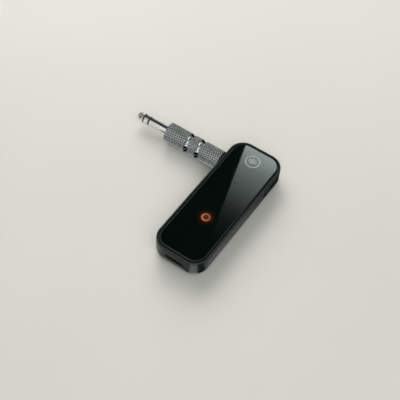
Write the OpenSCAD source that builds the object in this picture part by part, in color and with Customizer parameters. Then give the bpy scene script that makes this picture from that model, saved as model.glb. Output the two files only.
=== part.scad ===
// Pocket Bluetooth audio dongle with a double-ended 3.5 mm plug adapter.
// A tub-shaped lower shell and an upper frame hold a gloss front panel, a circuit board,
// a flat battery, a USB-C port, a 3.5 mm jack, a mode switch and one lit button.
// Origin: the centre of the dongle's base face. +Z is up, +Y points to the jack end,
// and +X points to the mode switch side. The adapter leaves the -X side.
// All sizes are in millimetres.

/* [Casing] */
// Length of the casing along Y
body_l = 56; // [55:0.5:60]
// Width of the casing along X
body_w = 20.6; // [20.4:0.1:22]
// Height of the casing, from the base to the top of the frame
body_h = 8; // [8:0.1:8.4]
// Radius of the four upright corners
corner_r = 5.8; // [5:0.1:6.2]
// Radius of the rounded bottom edge
base_r = 2.9; // [2.4:0.1:3.2]
// Thickness of the shell's walls and floor
wall = 1.2; // [1.1:0.05:1.3]
// Depth of the seam between shell and frame, below the frame's top
seam_drop = 0.7; // [0.6:0.05:0.75]

/* [Front panel] */
// Width of the frame's lip around the panel
lip_w = 0.8; // [0.7:0.05:0.9]
// Gap between the lip and the panel
panel_gap = 0.27; // [0.15:0.01:0.3]
// Thickness of the panel
panel_t = 1; // [0.9:0.05:1.1]
// Height that the panel stands above the frame
panel_proud = 0.2; // [0.1:0.05:0.3]
// Width of the chamfer around the panel's top edge
panel_chamfer = 0.45; // [0.2:0.05:0.6]
// Diameter of the microphone hole
mic_hole_d = 0.5; // [0.4:0.05:0.8]
// Distance of the microphone hole from the middle, along Y
mic_y = 9.4; // [8:0.2:10]
// Outer diameter of the ring-shaped mark
emblem_d = 5.6; // [4:0.2:6]
// Distance of the mark from the middle, along Y
emblem_y = 21.2; // [20.4:0.2:21.6]

/* [Button] */
// Outer diameter of the lit ring
ring_d = 3.32; // [3:0.02:3.6]
// Diameter of the button's centre cap
cap_d = 2; // [1.8:0.05:2.2]
// Distance of the button from the middle, along Y
button_y = -9; // [-10:0.5:-8]
// Travel of the button
button_travel = 0.25; // [0.15:0.05:0.3]

/* [Plug adapter] */
// Distance of the plug's axis from the middle, along Y
plug_y = 17.6; // [17.2:0.1:17.8]
// Height of the plug's axis above the base
plug_z = 4; // [3.95:0.05:4.1]
// Diameter of the knurled barrel
barrel_d = 7.5; // [7:0.1:7.6]
// Length of the knurled barrel
barrel_l = 23.6; // [22:0.2:26]
// Diameter of the barrel at the bottom of its grooves
groove_d = 6.8; // [6.6:0.05:7]
// Width of each polished groove
groove_w = 1.7; // [1.2:0.1:1.8]
// Distance of the first groove's middle from the casing
groove_1 = 9.6; // [9:0.1:10.5]
// Distance of the second groove's middle from the casing
groove_2 = 14.4; // [14:0.1:15.5]
// Length of each plug beyond its shoulder
plug_l = 14; // [13.8:0.1:14.2]

/* [Mode switch] */
// Travel of the mode switch's knob
switch_travel = 2; // [1.5:0.1:2]
// Middle of the switch recess, along Y
recess_y = 17.7; // [17.5:0.1:17.9]
// Length of the recess at the base
recess_l = 11.4; // [11:0.1:11.8]
// Depth of the recess under its top edge
recess_depth = 0.7; // [0.5:0.05:0.75]

/* [Hidden] */
$fn = 64;
// Clearance between two fixed pieces that lie side by side
seat = 0.05;
// Radial clearance of a running fit
run = 0.05;
// Overlap that keeps a cut clear of the faces it starts from
cut = 0.5;
// Overlap that joins two shapes of the same piece
fuse = 0.05;

// Casing
inner_w = body_w - 2 * wall;
inner_l = body_l - 2 * wall;
inner_r = corner_r - wall;
inner_base_r = base_r - wall;
side_x = body_w / 2;
end_y = body_l / 2;
seam_z = body_h - seam_drop;
groove_h = 0.2;
shell_edge = 0.18;
frame_edge = 0.2;
frame_setback = 0.03;
frame_inner = 1.95;
lap_h = 1;
lap_t = 0.5;
lap_z = seam_z - lap_h;

// Front panel
panel_inset = lip_w + panel_gap;
panel_w = body_w - 2 * panel_inset;
panel_l = body_l - 2 * panel_inset;
panel_r = corner_r - panel_inset;
panel_top = body_h + panel_proud;
panel_z = panel_top - panel_t;
adhesive_t = 0.2;
adhesive_inset = 0.15;
adhesive_w = 0.7;
ledge_z = panel_z - adhesive_t;
emblem_depth = 0.06;
emblem_line = 0.34;
bar_w = 0.42;
bar_pitch = 0.86;
bar_heights = [1.3, 2.5, 1.8, 0.9];

// Circuit board
board_t = 0.8;
board_z = 4.7;
board_top = board_z + board_t;
board_w = inner_w - 0.6;
board_l = inner_l - 0.8;
board_r = inner_r - 0.4;
board_notch = 0.15;
screw_r = 0.6;
screw_hole_r = 0.75;
screw_head_r = 1.15;
screw_head_h = 0.6;
screw_l = 3;
screw_end_gap = 0.2;
screw_thread_gap = 0.02;
screw_slot_z = 0.25;
screw_slot_l = 1.3;
screw_slot_w = 0.25;
post_r = 1.3;
screws_at = [
    [-6.9, 4.6 - end_y], [6.9, 4.6 - end_y], [-4.6, end_y - 3.9], [4.4, end_y - 3.6]
];

// Parts on the board: the middle of each, and its width, length and height
bluetooth_at = [-4.6, 2];
bluetooth_size = [5, 5, 0.75];
audio_at = [4.6, 3];
audio_size = [4, 4, 0.7];
charge_at = [-5.6, -17];
charge_size = [3, 3, 0.9];
crystal_at = [-4.6, 7.2];
crystal_size = [2.5, 2, 0.6];
antenna_at = [0, end_y - 3.2];
antenna_size = [3.2, 1.6, 1.2];
inductor_at = [5.6, -17];
inductor_size = [2.6, 2, 1];
mic_size = [2.65, 1.85, 0.9];
mic_port_r = 0.25;
mic_port_l = 0.4;
gasket_w = 2.4;
gasket_l = 1.8;
gasket_hole_r = 0.35;
passive_long = [0.6, 1, 0.4];
passive_wide = [1, 0.5, 0.4];
passive_tall = [1, 0.5, 0.5];
passive_pitch = 1.3;
passive_gap = 1.5;

// Button and tact switch
button_r = ring_d / 2;
cap_r = cap_d / 2;
flange_r = button_r + 0.6;
flange_t = 0.3;
flange_z = panel_z - seat - flange_t;
stem_r = 0.6;
tact_w = 3.2;
tact_l = 2.6;
tact_h = 0.7;
tact_hole_r = 0.78;
tact_floor_t = 0.1;
plunger_r = 0.7;
plunger_top = board_top + 1;
plunger_l = 0.55;
stem_gap = 0.02;
dome_t = 0.06;
dome_r = 0.73;
led_x = 2.2;
led_size = [0.6, 1, 0.4];
button_gap = 0.08;
shroud_w = 6.8;
shroud_l = 4.8;
shroud_t = 0.6;
shroud_r = 0.9;
shroud_top = flange_z - button_travel - seat;

// USB-C port
usb_z = 3.9;
usb_shell_w = 8.94;
usb_shell_h = 3.16;
usb_shell_t = 0.3;
usb_shell_l = 7.3;
usb_front = -end_y + 0.5;
usb_open_w = 8.34;
usb_open_h = 2.56;
usb_notch_l = 1.2;
tongue_w = 6.7;
tongue_thick = 0.7;
tongue_setback = 0.9;
tongue_back_l = 1.4;
tongue_root_l = 1.2;
tongue_root_side = 0.3;
contact_pitch = 0.5;
contact_w = 0.26;
contact_l = 3;
contact_t = 0.05;
contact_setback = 1.5;
contacts_per_side = 12;

// Battery
battery_w = 15;
battery_l = 29;
battery_h = 3;
battery_pad_t = 0.25;
battery_front = -17;
battery_edge_r = 0.9;
battery_z = wall + battery_pad_t;
guard_l = 1.5;
guard_h = 1.8;
guard_side = 1.5;
guard_rise = 0.5;
pad_side = 1;
pad_end = 2;
sheet_t = 0.08;
sheet_end = 1;
lead_x = 5.6;
lead_rise = 1.4;
lead_straight = 0.4;
lead_r = 0.3;
lead_bend = 0.8;

// Jack
jack_l = 14.2;
jack_w = 6;
jack_z = 1.45;
jack_h = 5.1;
jack_bore_r = 1.8;
jack_front = -inner_w / 2 + seat;
jack_end = jack_front + jack_l;
jack_back_wall = 0.7;
bush_r = 2.6;
bush_l = wall - 2 * seat;
spring_w = 1.1;
spring_t = 0.2;
spring_slot_w = 1.3;
spring_slot_l = 2.6;
spring_gap = 0.03;
spring_foot = 0.3;
leaf_side = 0.2;
// Distance of each contact spring's middle from the plug's shoulder
tip_spring_at = 13;
ring_spring_at = 9.7;
sleeve_spring_at = 4.2;
housing_slope = 1.2;
frame_gap = 0.2;
frame_room = 3;

// Plug adapter
plug_r = 1.75;
root_r = 1.5;
washer_t = 0.55;
washer_r = 3;
washer_gap = 0.03;
shoulder_x = -side_x - washer_t - 2 * washer_gap;
barrel_r = barrel_d / 2;
barrel_end = shoulder_x - barrel_l;
barrel_bore_r = 2.7;
barrel_lip = 0.6;
barrel_mouth_r = plug_r + 0.1;
barrel_chamfer = 0.25;
plug_root = 5;
sleeve_l = 8.2;
band_l = 0.6;
ring_l = 1.8;
rod_r = 0.45;
ring_tube_r = 0.7;
ring_tube_out = 0.95;
sleeve_bore_r = 1.2;
layer_gap = 0.01;
tip_start = sleeve_l + 2 * band_l + ring_l;
bush_wall_gap = 0.02;
bush_end_gap = 1;
groove_flare = 0.1;
wire_r = 0.3;
wire_spread = 1.4;
wire_end_gap = 0.05;
// How much shorter than the tip's root each outer layer's root is
insulator_step = 0.4;
ring_step = 0.8;
outer_insulator_step = 1.2;
sleeve_step = 1.6;
// The tip's shape, as radii and as distances from where it starts
tip_shoulder_r = 1.4;
tip_neck_r = 1.1;
tip_neck_at = 0.5;
tip_bulb_r = 1.6;
tip_bulb_at = 1.25;
tip_bulb_l = 0.35;
tip_nose_r = 0.55;
tip_nose_edge_r = 0.75;
tip_nose_l = 0.25;

// Mode switch
recess_top = 6.1;
recess_foot = 1;
recess_slope = 1.2;
recess_tilt = atan(recess_depth / (recess_top - recess_foot));
recess_face_l = (recess_top - recess_foot) / cos(recess_tilt);
knob_slot_gap = 0.15;
knob_l = 3;
knob_h = 2;
knob_z = 3.4;
knob_rest_y = recess_y - switch_travel / 2;
knob_floor_x = side_x - recess_depth;
knob_gap = 0.06;
knob_proud = 0.1;
window_h = 1.3;
window_stem_h = 1;
window_stem_l = 2;
window_gap = 0.15;
switch_x = inner_w / 2 - 0.25;
switch_w = 2.9;
switch_l = 8.4;
switch_h = 2.4;
switch_t = 0.3;
actuator_l = 3;
actuator_front = 0.3;
actuator_gap = 0.25;
stem_root = 0.4;
switch_base_h = 0.5;
switch_contact_w = 0.6;
switch_contact_h = 0.12;
switch_contact_x = 1.6;
switch_contact_end = 0.2;
terminal_w = 0.4;
terminal_l = 0.7;
terminal_h = 0.15;
terminal_pitch = 2.2;
rib_pitch = 0.6;
rib_w = 0.25;
rib_depth = 0.2;
ribs_each_side = 2;

// ---- Shared shapes ----

// A rectangle with round corners, centred on the origin
module rounded_rect(w, l, r) {
    square([w - 2 * r, l], center = true);
    square([w, l - 2 * r], center = true);
    for (x = [-1, 1], y = [-1, 1])
        translate([x * (w / 2 - r), y * (l / 2 - r)])
            circle(r);
}

module rounded_plate(w, l, h, r) {
    linear_extrude(h) rounded_rect(w, l, r);
}

module rounded_frame(w, l, h, r, t) {
    difference() {
        rounded_plate(w, l, h, r);
        translate([0, 0, -cut])
            rounded_plate(w - 2 * t, l - 2 * t, h + 2 * cut, r - t);
    }
}

// A box with its low corner at X and Y centred
module centred_box(w, l, h) {
    translate([-w / 2, -l / 2, 0]) cube([w, l, h]);
}

// Half of a flat base's section, with its outer bottom edge rounded
module edge_section(reach, r) {
    square([reach - r, r]);
    translate([0, r]) square([reach, fuse]);
    intersection() {
        translate([reach - r, r]) circle(r);
        translate([reach - r, 0]) square(r);
    }
}

// A slab with upright round corners and a rounded bottom edge
module round_bottom_slab(w, l, h, r, bottom_r) {
    translate([0, 0, bottom_r]) rounded_plate(w, l, h - bottom_r, r);
    for (turn = [0, 180]) rotate([0, 0, turn]) {
        translate([0, l / 2 - r, 0])
            rotate([90, 0, 0]) linear_extrude(l - 2 * r) edge_section(w / 2, bottom_r);
        translate([-(w / 2 - r), 0, 0])
            rotate([90, 0, 90]) linear_extrude(w - 2 * r) edge_section(l / 2, bottom_r);
    }
    for (x = [-1, 1], y = [-1, 1])
        translate([x * (w / 2 - r), y * (l / 2 - r), 0])
            rotate([0, 0, corner_turn(x, y)])
                rotate_extrude(angle = 90) edge_section(r, bottom_r);
}

// A plate with upright round corners whose top edge is chamfered inward by c
module chamfered_layer(w, l, h, r, c) {
    for (turn = [0, 180]) rotate([0, 0, turn]) {
        translate([0, l / 2 - r, 0])
            rotate([90, 0, 0]) linear_extrude(l - 2 * r) chamfer_section(w / 2, h, c);
        translate([-(w / 2 - r), 0, 0])
            rotate([90, 0, 90]) linear_extrude(w - 2 * r) chamfer_section(l / 2, h, c);
    }
    for (x = [-1, 1], y = [-1, 1])
        translate([x * (w / 2 - r), y * (l / 2 - r), 0])
            rotate([0, 0, corner_turn(x, y)])
                rotate_extrude(angle = 90) chamfer_section(r, h, c);
}

module chamfer_section(reach, h, c) {
    polygon([[0, 0], [reach, 0], [reach - c, h], [0, h]]);
}

// Turn about Z that puts a quarter of a revolved section in the corner at (x, y)
function corner_turn(x, y) = x > 0 ? (y > 0 ? 0 : 270) : (y > 0 ? 90 : 180);

// A bar along Y with round sides, centred on X and Z
module stadium_bar(w, h, l) {
    cube([w - h, l, h], center = true);
    for (x = [-1, 1])
        translate([x * (w - h) / 2, 0, 0]) rotate([90, 0, 0]) cylinder(h = l, d = h, center = true);
}

// A round bar along +X
module x_bar(r, l) {
    rotate([0, 90, 0]) cylinder(h = l, r = r);
}

// ---- Casing ----

// A scoop for the fingertip: deepest under its top edge, and run out above the base
module recess_cut() {
    half = recess_l / 2;
    translate([side_x, recess_y, recess_foot])
        rotate([0, -recess_tilt, 0]) rotate([90, 0, 90])
            linear_extrude(wall)
                polygon([
                    [-half, 0],
                    [half, 0],
                    [half - recess_slope, recess_face_l],
                    [-half + recess_slope, recess_face_l]
                ]);
}

// The slot that the knob slides along
module knob_slot() {
    slot_l = knob_l + switch_travel + 2 * knob_slot_gap;
    slot_h = knob_h + 2 * knob_slot_gap;
    translate([knob_floor_x, recess_y - slot_l / 2, knob_z - slot_h / 2])
        cube([wall, slot_l, slot_h]);
}

module switch_window() {
    window_l = window_stem_l + switch_travel + 2 * window_gap;
    translate([inner_w / 2 - cut, recess_y - window_l / 2, knob_z - window_h / 2])
        cube([wall + 2 * cut, window_l, window_h]);
}

module lower_shell() {
    color([0.17, 0.19, 0.18])
    difference() {
        union() {
            difference() {
                union() {
                    round_bottom_slab(body_w, body_l, seam_z - shell_edge, corner_r, base_r);
                    translate([0, 0, seam_z - shell_edge])
                        chamfered_layer(body_w, body_l, shell_edge, corner_r, shell_edge);
                }
                translate([0, 0, wall])
                    round_bottom_slab(inner_w, inner_l, seam_z, inner_r, inner_base_r);
                translate([0, 0, lap_z])
                    rounded_plate(body_w - 2 * lap_t, body_l - 2 * lap_t, lap_h + cut,
                        corner_r - lap_t);
            }
            for (p = screws_at)
                translate([p[0], p[1], wall - fuse])
                    cylinder(h = board_z - wall + fuse, r = post_r);
        }
        for (p = screws_at)
            translate([p[0], p[1], board_top - screw_l - screw_end_gap])
                cylinder(h = screw_l + cut, r = screw_r + screw_thread_gap);
        recess_cut();
        knob_slot();
        switch_window();
        translate([0, -end_y, usb_z]) stadium_bar(usb_open_w, usb_open_h, 4 * wall);
        translate([0, usb_front + wall, usb_z])
            stadium_bar(usb_shell_w + 2 * seat, usb_shell_h + 2 * seat, 2 * wall + 2 * seat);
        translate([-side_x - cut, plug_y, plug_z])
            x_bar(bush_r + seat, wall + 2 * cut);
    }
}

module upper_frame() {
    frame_w = body_w - 2 * frame_setback;
    frame_l = body_l - 2 * frame_setback;
    frame_r = corner_r - frame_setback;
    neck_inset = lap_t + seat;
    visible_z = seam_z + groove_h;
    color([0.2, 0.22, 0.21])
    difference() {
        union() {
            translate([0, 0, visible_z])
                rounded_plate(frame_w, frame_l, body_h - visible_z - frame_edge, frame_r);
            translate([0, 0, body_h - frame_edge])
                chamfered_layer(frame_w, frame_l, frame_edge, frame_r, frame_edge);
            translate([0, 0, lap_z + seat])
                rounded_plate(body_w - 2 * neck_inset, body_l - 2 * neck_inset,
                    visible_z - lap_z - seat, corner_r - neck_inset);
        }
        translate([0, 0, ledge_z])
            rounded_plate(body_w - 2 * lip_w, body_l - 2 * lip_w, body_h, corner_r - lip_w);
        rounded_plate(body_w - 2 * frame_inner, body_l - 2 * frame_inner, body_h,
            corner_r - frame_inner);
        jack_clearance();
    }
}

// Room in the frame's underside for the jack's housing and its bush
module jack_clearance() {
    translate([-inner_w / 2 - frame_gap, plug_y - jack_w / 2 - frame_gap, lap_z - cut])
        cube([frame_room, jack_w + 2 * frame_gap, jack_z + jack_h + frame_gap - lap_z + cut]);
    translate([-side_x - cut, plug_y, plug_z])
        x_bar(bush_r + seat, wall + 2 * cut);
}

module panel_adhesive() {
    color([0.1, 0.1, 0.1])
    translate([0, 0, ledge_z])
        rounded_frame(panel_w - 2 * adhesive_inset, panel_l - 2 * adhesive_inset, adhesive_t,
            panel_r - adhesive_inset, adhesive_w);
}

module front_panel() {
    side_h = panel_t - panel_proud;
    color([0.01, 0.03, 0.03])
    difference() {
        union() {
            translate([0, 0, panel_z]) rounded_plate(panel_w, panel_l, side_h, panel_r);
            translate([0, 0, panel_z + side_h])
                chamfered_layer(panel_w, panel_l, panel_proud, panel_r, panel_chamfer);
        }
        translate([0, button_y, panel_z - cut])
            cylinder(h = panel_t + 2 * cut, r = button_r + button_gap);
        translate([0, mic_y, panel_z - cut]) cylinder(h = panel_t + 2 * cut, d = mic_hole_d);
        emblem_shape(emblem_depth + cut);
    }
}

// A ring around four upright bars, sunk into the panel's top
module emblem_shape(h) {
    translate([0, emblem_y, panel_top - emblem_depth]) {
        difference() {
            cylinder(h = h, d = emblem_d);
            translate([0, 0, -cut]) cylinder(h = h + 2 * cut, d = emblem_d - 2 * emblem_line);
        }
        for (i = [0:len(bar_heights) - 1])
            translate([(i - (len(bar_heights) - 1) / 2) * bar_pitch, 0, 0])
                centred_box(bar_w, bar_heights[i], h);
    }
}

module panel_emblem() {
    color([0.6, 0.63, 0.62]) emblem_shape(emblem_depth);
}

// ---- Button ----

module button_cap() {
    color([0.35, 0.1, 0.03])
    translate([0, button_y, 0]) {
        translate([0, 0, flange_z]) cylinder(h = panel_top - flange_z, r = cap_r);
        translate([0, 0, flange_z]) cylinder(h = flange_t, r = flange_r);
        translate([0, 0, plunger_top + stem_gap])
            cylinder(h = flange_z - plunger_top, r = stem_r);
    }
}

module light_ring() {
    color([1, 0.36, 0.16])
    translate([0, button_y, flange_z + flange_t])
        difference() {
            cylinder(h = panel_top - flange_z - flange_t, r = button_r);
            translate([0, 0, -cut]) cylinder(h = panel_t + 2 * cut, r = cap_r + layer_gap);
        }
}

module tact_plunger() {
    color([0.1, 0.1, 0.1])
    translate([0, button_y, plunger_top - plunger_l]) cylinder(h = plunger_l, r = plunger_r);
}

// The snap disc, which rides under the plunger
module tact_dome() {
    dome_z = plunger_top - plunger_l - dome_t;
    color([0.8, 0.8, 0.78])
    translate([0, button_y, dome_z]) cylinder(h = dome_t, r = dome_r);
}

module tact_base() {
    color([0.12, 0.12, 0.12])
    translate([0, button_y, board_top])
        difference() {
            centred_box(tact_w, tact_l, tact_h);
            translate([0, 0, tact_floor_t]) cylinder(h = tact_h, r = tact_hole_r);
        }
}

module status_leds() {
    color([1, 0.9, 0.75])
    for (x = [-1, 1])
        part_on_board([x * led_x, button_y], led_size);
}

module light_shroud() {
    color([0.93, 0.93, 0.9])
    translate([0, button_y, board_top])
        rounded_frame(shroud_w, shroud_l, shroud_top - board_top, shroud_r, shroud_t);
}

// ---- Circuit board ----

module circuit_board() {
    color([0.05, 0.3, 0.16])
    difference() {
        translate([0, 0, board_z]) rounded_plate(board_w, board_l, board_t, board_r);
        translate([-usb_shell_w / 2 - board_notch, -end_y, board_z - cut])
            cube([usb_shell_w + 2 * board_notch, usb_shell_l + usb_notch_l, board_t + 2 * cut]);
        translate([-side_x, plug_y - jack_w / 2 - board_notch, board_z - cut])
            cube([jack_end + side_x + board_notch, jack_w + 2 * board_notch, board_t + 2 * cut]);
        for (p = screws_at)
            translate([p[0], p[1], board_z - cut])
                cylinder(h = board_t + 2 * cut, r = screw_hole_r);
    }
}

module board_screws() {
    color([0.6, 0.6, 0.62])
    for (p = screws_at)
        translate([p[0], p[1], 0])
            difference() {
                union() {
                    translate([0, 0, board_top - screw_l]) cylinder(h = screw_l, r = screw_r);
                    translate([0, 0, board_top]) cylinder(h = screw_head_h, r = screw_head_r);
                }
                for (turn = [0, 90])
                    translate([0, 0, board_top + screw_slot_z])
                        rotate([0, 0, turn]) centred_box(screw_slot_l, screw_slot_w, screw_head_h);
            }
}

// A plain box on the board, from its middle [x, y] and its size
module part_on_board(at, size) {
    translate([at[0], at[1], board_top]) centred_box(size[0], size[1], size[2]);
}

// A row of equal parts, each one step on from the last
module row_on_board(first, step, count, size) {
    for (i = [0:count - 1])
        part_on_board(first + i * step, size);
}

module bluetooth_chip() {
    color([0.08, 0.08, 0.09]) part_on_board(bluetooth_at, bluetooth_size);
}

module audio_chip() {
    color([0.08, 0.08, 0.09]) part_on_board(audio_at, audio_size);
}

module charge_chip() {
    color([0.08, 0.08, 0.09]) part_on_board(charge_at, charge_size);
}

module crystal() {
    color([0.75, 0.75, 0.73]) part_on_board(crystal_at, crystal_size);
}

module chip_antenna() {
    color([0.85, 0.84, 0.78]) part_on_board(antenna_at, antenna_size);
}

module power_inductor() {
    color([0.3, 0.3, 0.32]) part_on_board(inductor_at, inductor_size);
}

module board_passives() {
    color([0.55, 0.42, 0.3]) {
        row_on_board([-7, -13], [passive_pitch, 0], 6, passive_long);
        row_on_board([-1.1, -2.5], [0, passive_gap], 5, passive_wide);
        row_on_board([3.2, 7], [passive_pitch, 0], 4, passive_long);
        row_on_board([6.9, -3.5], [0, -passive_gap], 3, passive_tall);
    }
}

module microphone() {
    color([0.78, 0.72, 0.5])
    difference() {
        part_on_board([0, mic_y], mic_size);
        translate([0, mic_y, board_top + mic_size[2] - mic_port_l])
            cylinder(h = mic_port_l + cut, r = mic_port_r);
    }
}

module mic_gasket() {
    gasket_z = board_top + mic_size[2];
    gasket_h = panel_z - gasket_z;
    color([0.15, 0.15, 0.15])
    translate([0, mic_y, gasket_z])
        difference() {
            centred_box(gasket_w, gasket_l, gasket_h);
            translate([0, 0, -cut]) cylinder(h = gasket_h + 2 * cut, r = gasket_hole_r);
        }
}

// ---- Battery ----

module battery_cell() {
    color([0.75, 0.77, 0.78])
    translate([0, battery_front + battery_l, battery_z + battery_h / 2])
        rotate([90, 0, 0]) linear_extrude(battery_l) rounded_rect(battery_w, battery_h, battery_edge_r);
}

module battery_guard_board() {
    color([0.85, 0.72, 0.2])
    translate([0, battery_front - guard_l / 2, battery_z + guard_rise])
        centred_box(battery_w - 2 * guard_side, guard_l - 2 * seat, guard_h);
}

module battery_pad() {
    color([0.2, 0.2, 0.2])
    translate([0, battery_front + battery_l / 2, wall])
        centred_box(battery_w - 2 * pad_side, battery_l - 2 * pad_end, battery_pad_t);
}

// One lead from the guard board: out along -Y, round a bend, then up to the board
module battery_lead(x) {
    lead_y = battery_front - guard_l;
    lead_z = battery_z + lead_rise;
    translate([x, lead_y - lead_straight, lead_z]) {
        rotate([-90, 0, 0]) cylinder(h = lead_straight, r = lead_r);
        translate([0, 0, lead_bend])
            rotate([0, 90, 0]) rotate([180, 0, 0])
                rotate_extrude(angle = 90) translate([lead_bend, 0]) circle(lead_r);
        translate([0, -lead_bend, lead_bend])
            cylinder(h = board_z - seat - lead_z - lead_bend, r = lead_r);
    }
}

module lead_positive() {
    color([0.75, 0.1, 0.08]) battery_lead(-lead_x);
}

module lead_negative() {
    color([0.06, 0.06, 0.06]) battery_lead(lead_x);
}

module insulating_sheet() {
    color([0.7, 0.5, 0.1])
    translate([0, battery_front + battery_l / 2, board_z - seat - sheet_t])
        centred_box(battery_w, battery_l - 2 * sheet_end, sheet_t);
}

// ---- USB-C port ----

module usb_shell() {
    color([0.6, 0.61, 0.62])
    translate([0, usb_front + usb_shell_l / 2, usb_z])
        difference() {
            stadium_bar(usb_shell_w, usb_shell_h, usb_shell_l);
            stadium_bar(usb_shell_w - 2 * usb_shell_t, usb_shell_h - 2 * usb_shell_t,
                usb_shell_l + 2 * cut);
        }
}

module usb_tongue() {
    back_w = usb_shell_w - 2 * usb_shell_t - 2 * seat;
    back_h = usb_shell_h - 2 * usb_shell_t - 2 * seat;
    back_y = usb_front + usb_shell_l - tongue_back_l;
    tongue_front = usb_front + tongue_setback;
    color([0.05, 0.05, 0.05]) {
        translate([0, back_y + tongue_back_l / 2, usb_z])
            stadium_bar(back_w, back_h, tongue_back_l);
        translate([0, back_y - tongue_root_l, usb_z - back_h / 4])
            centred_box_from(tongue_w + 2 * tongue_root_side, tongue_root_l + seat, back_h / 2);
        translate([0, tongue_front, usb_z - tongue_thick / 2])
            centred_box_from(tongue_w, back_y - tongue_front + seat, tongue_thick);
    }
}

// A box centred on X that starts at Y = 0 and Z = 0
module centred_box_from(w, l, h) {
    translate([-w / 2, 0, 0]) cube([w, l, h]);
}

module usb_contacts() {
    first_x = -(contacts_per_side - 1) / 2 * contact_pitch;
    contact_y = usb_front + contact_setback;
    color([0.85, 0.68, 0.3])
    for (i = [0:contacts_per_side - 1], side = [-1, 1])
        translate([
            first_x + i * contact_pitch,
            contact_y,
            usb_z + side * (tongue_thick + contact_t) / 2 - contact_t / 2
        ])
            centred_box_from(contact_w, contact_l, contact_t);
}

// ---- 3.5 mm jack ----

module jack_housing() {
    color([0.07, 0.07, 0.07])
    difference() {
        translate([jack_front, plug_y - jack_w / 2, jack_z]) cube([jack_l, jack_w, jack_h]);
        translate([jack_front - cut, plug_y, plug_z])
            x_bar(jack_bore_r, jack_l - jack_back_wall + cut);
        for (at = [tip_spring_at, ring_spring_at, sleeve_spring_at])
            spring_slot(at);
        housing_corner_cut();
    }
}

// Slopes the housing's lower front edge, clear of the shell's rounded inside corner
module housing_corner_cut() {
    translate([0, plug_y + jack_w, 0])
        rotate([90, 0, 0]) linear_extrude(2 * jack_w)
            polygon([
                [jack_front - cut, jack_z - cut],
                [jack_front + housing_slope + cut, jack_z - cut],
                [jack_front - cut, jack_z + housing_slope + cut]
            ]);
}

module spring_slot(at) {
    translate([
        shoulder_x + at - spring_slot_l / 2,
        plug_y - spring_slot_w / 2,
        plug_z
    ])
        cube([spring_slot_l, spring_slot_w, jack_z + jack_h]);
}

// A leaf that hangs from the housing's top and stops just clear of the plug
module contact_spring(at) {
    leaf_top = jack_z + jack_h;
    leaf_low = plug_z + plug_r + spring_gap;
    leaf_l = spring_slot_l - 2 * leaf_side;
    color([0.85, 0.7, 0.35])
    translate([shoulder_x + at, plug_y, 0]) {
        translate([0, 0, leaf_top]) centred_box(spring_slot_l + 2 * spring_foot, spring_w, spring_t);
        translate([-leaf_l / 2, -spring_w / 2, leaf_low + spring_t])
            cube([spring_t, spring_w, leaf_top - leaf_low - spring_t]);
        translate([-leaf_l / 2, -spring_w / 2, leaf_low])
            cube([leaf_l, spring_w, spring_t]);
    }
}

module jack_tip_spring() {
    contact_spring(tip_spring_at);
}

module jack_ring_spring() {
    contact_spring(ring_spring_at);
}

module jack_sleeve_spring() {
    contact_spring(sleeve_spring_at);
}

// The metal bush around the jack's mouth, held by the side wall
module jack_bush() {
    color([0.7, 0.71, 0.72])
    translate([-side_x + seat, plug_y, plug_z])
        difference() {
            x_bar(bush_r, bush_l);
            translate([-cut, 0, 0]) x_bar(jack_bore_r, bush_l + 2 * cut);
        }
}

// ---- Mode switch ----

module switch_base() {
    color([0.1, 0.1, 0.1])
    translate([switch_x - switch_w + switch_t + seat, recess_y - switch_l / 2 + switch_t + seat,
        knob_z - switch_h / 2])
        cube([switch_w - 2 * switch_t, switch_l - 2 * switch_t - 2 * seat, switch_base_h]);
}

// A thin metal box, open below and toward the side wall
module switch_cover() {
    color([0.7, 0.71, 0.72])
    difference() {
        translate([switch_x - switch_w, recess_y - switch_l / 2, knob_z - switch_h / 2])
            cube([switch_w, switch_l, switch_h]);
        translate([switch_x - switch_w + switch_t, recess_y - switch_l / 2 + switch_t,
            knob_z - switch_h / 2 - cut])
            cube([switch_w, switch_l - 2 * switch_t, switch_h + cut - switch_t]);
    }
}

module switch_terminals() {
    color([0.8, 0.66, 0.32])
    for (i = [-1, 0, 1])
        translate([
            switch_x - switch_w - terminal_l,
            recess_y + terminal_pitch * i - terminal_w / 2,
            board_z - seat - terminal_h
        ])
            cube([terminal_l - seat, terminal_w, terminal_h]);
}

// The sliding block inside the switch, with the stem that leaves through the window
module switch_actuator() {
    block_z = knob_z - window_stem_h / 2;
    block_x = switch_x - switch_w + switch_t + actuator_gap;
    stem_x = switch_x - stem_root;
    color([0.12, 0.12, 0.12]) {
        translate([block_x, knob_rest_y - actuator_l / 2, block_z])
            cube([switch_x - actuator_front - block_x, actuator_l, window_stem_h]);
        translate([stem_x, knob_rest_y - window_stem_l / 2, block_z])
            cube([knob_floor_x + knob_gap - stem_x, window_stem_l, window_stem_h]);
    }
}

module switch_contact() {
    color([0.85, 0.7, 0.35])
    translate([
        switch_x - switch_contact_x,
        knob_rest_y,
        knob_z - window_stem_h / 2 - switch_contact_h
    ])
        centred_box(switch_contact_w, actuator_l - 2 * switch_contact_end, switch_contact_h);
}

// The ribbed knob in the recess's slot
module switch_knob() {
    knob_x = knob_floor_x + knob_gap;
    knob_t = recess_depth - knob_gap - knob_proud;
    color([0.09, 0.1, 0.1])
    difference() {
        translate([knob_x, knob_rest_y - knob_l / 2, knob_z - knob_h / 2])
            cube([knob_t, knob_l, knob_h]);
        for (i = [-ribs_each_side:ribs_each_side])
            translate([knob_x + knob_t - rib_depth, knob_rest_y + i * rib_pitch - rib_w / 2,
                knob_z - knob_h])
                cube([knob_t, rib_w, 2 * knob_h]);
    }
}

// ---- Plug adapter ----

module plug_washer() {
    color([0.05, 0.05, 0.05])
    translate([-side_x - washer_gap - washer_t, plug_y, plug_z])
        difference() {
            x_bar(washer_r, washer_t);
            translate([-cut, 0, 0]) x_bar(plug_r + run, washer_t + 2 * cut);
        }
}

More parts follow.
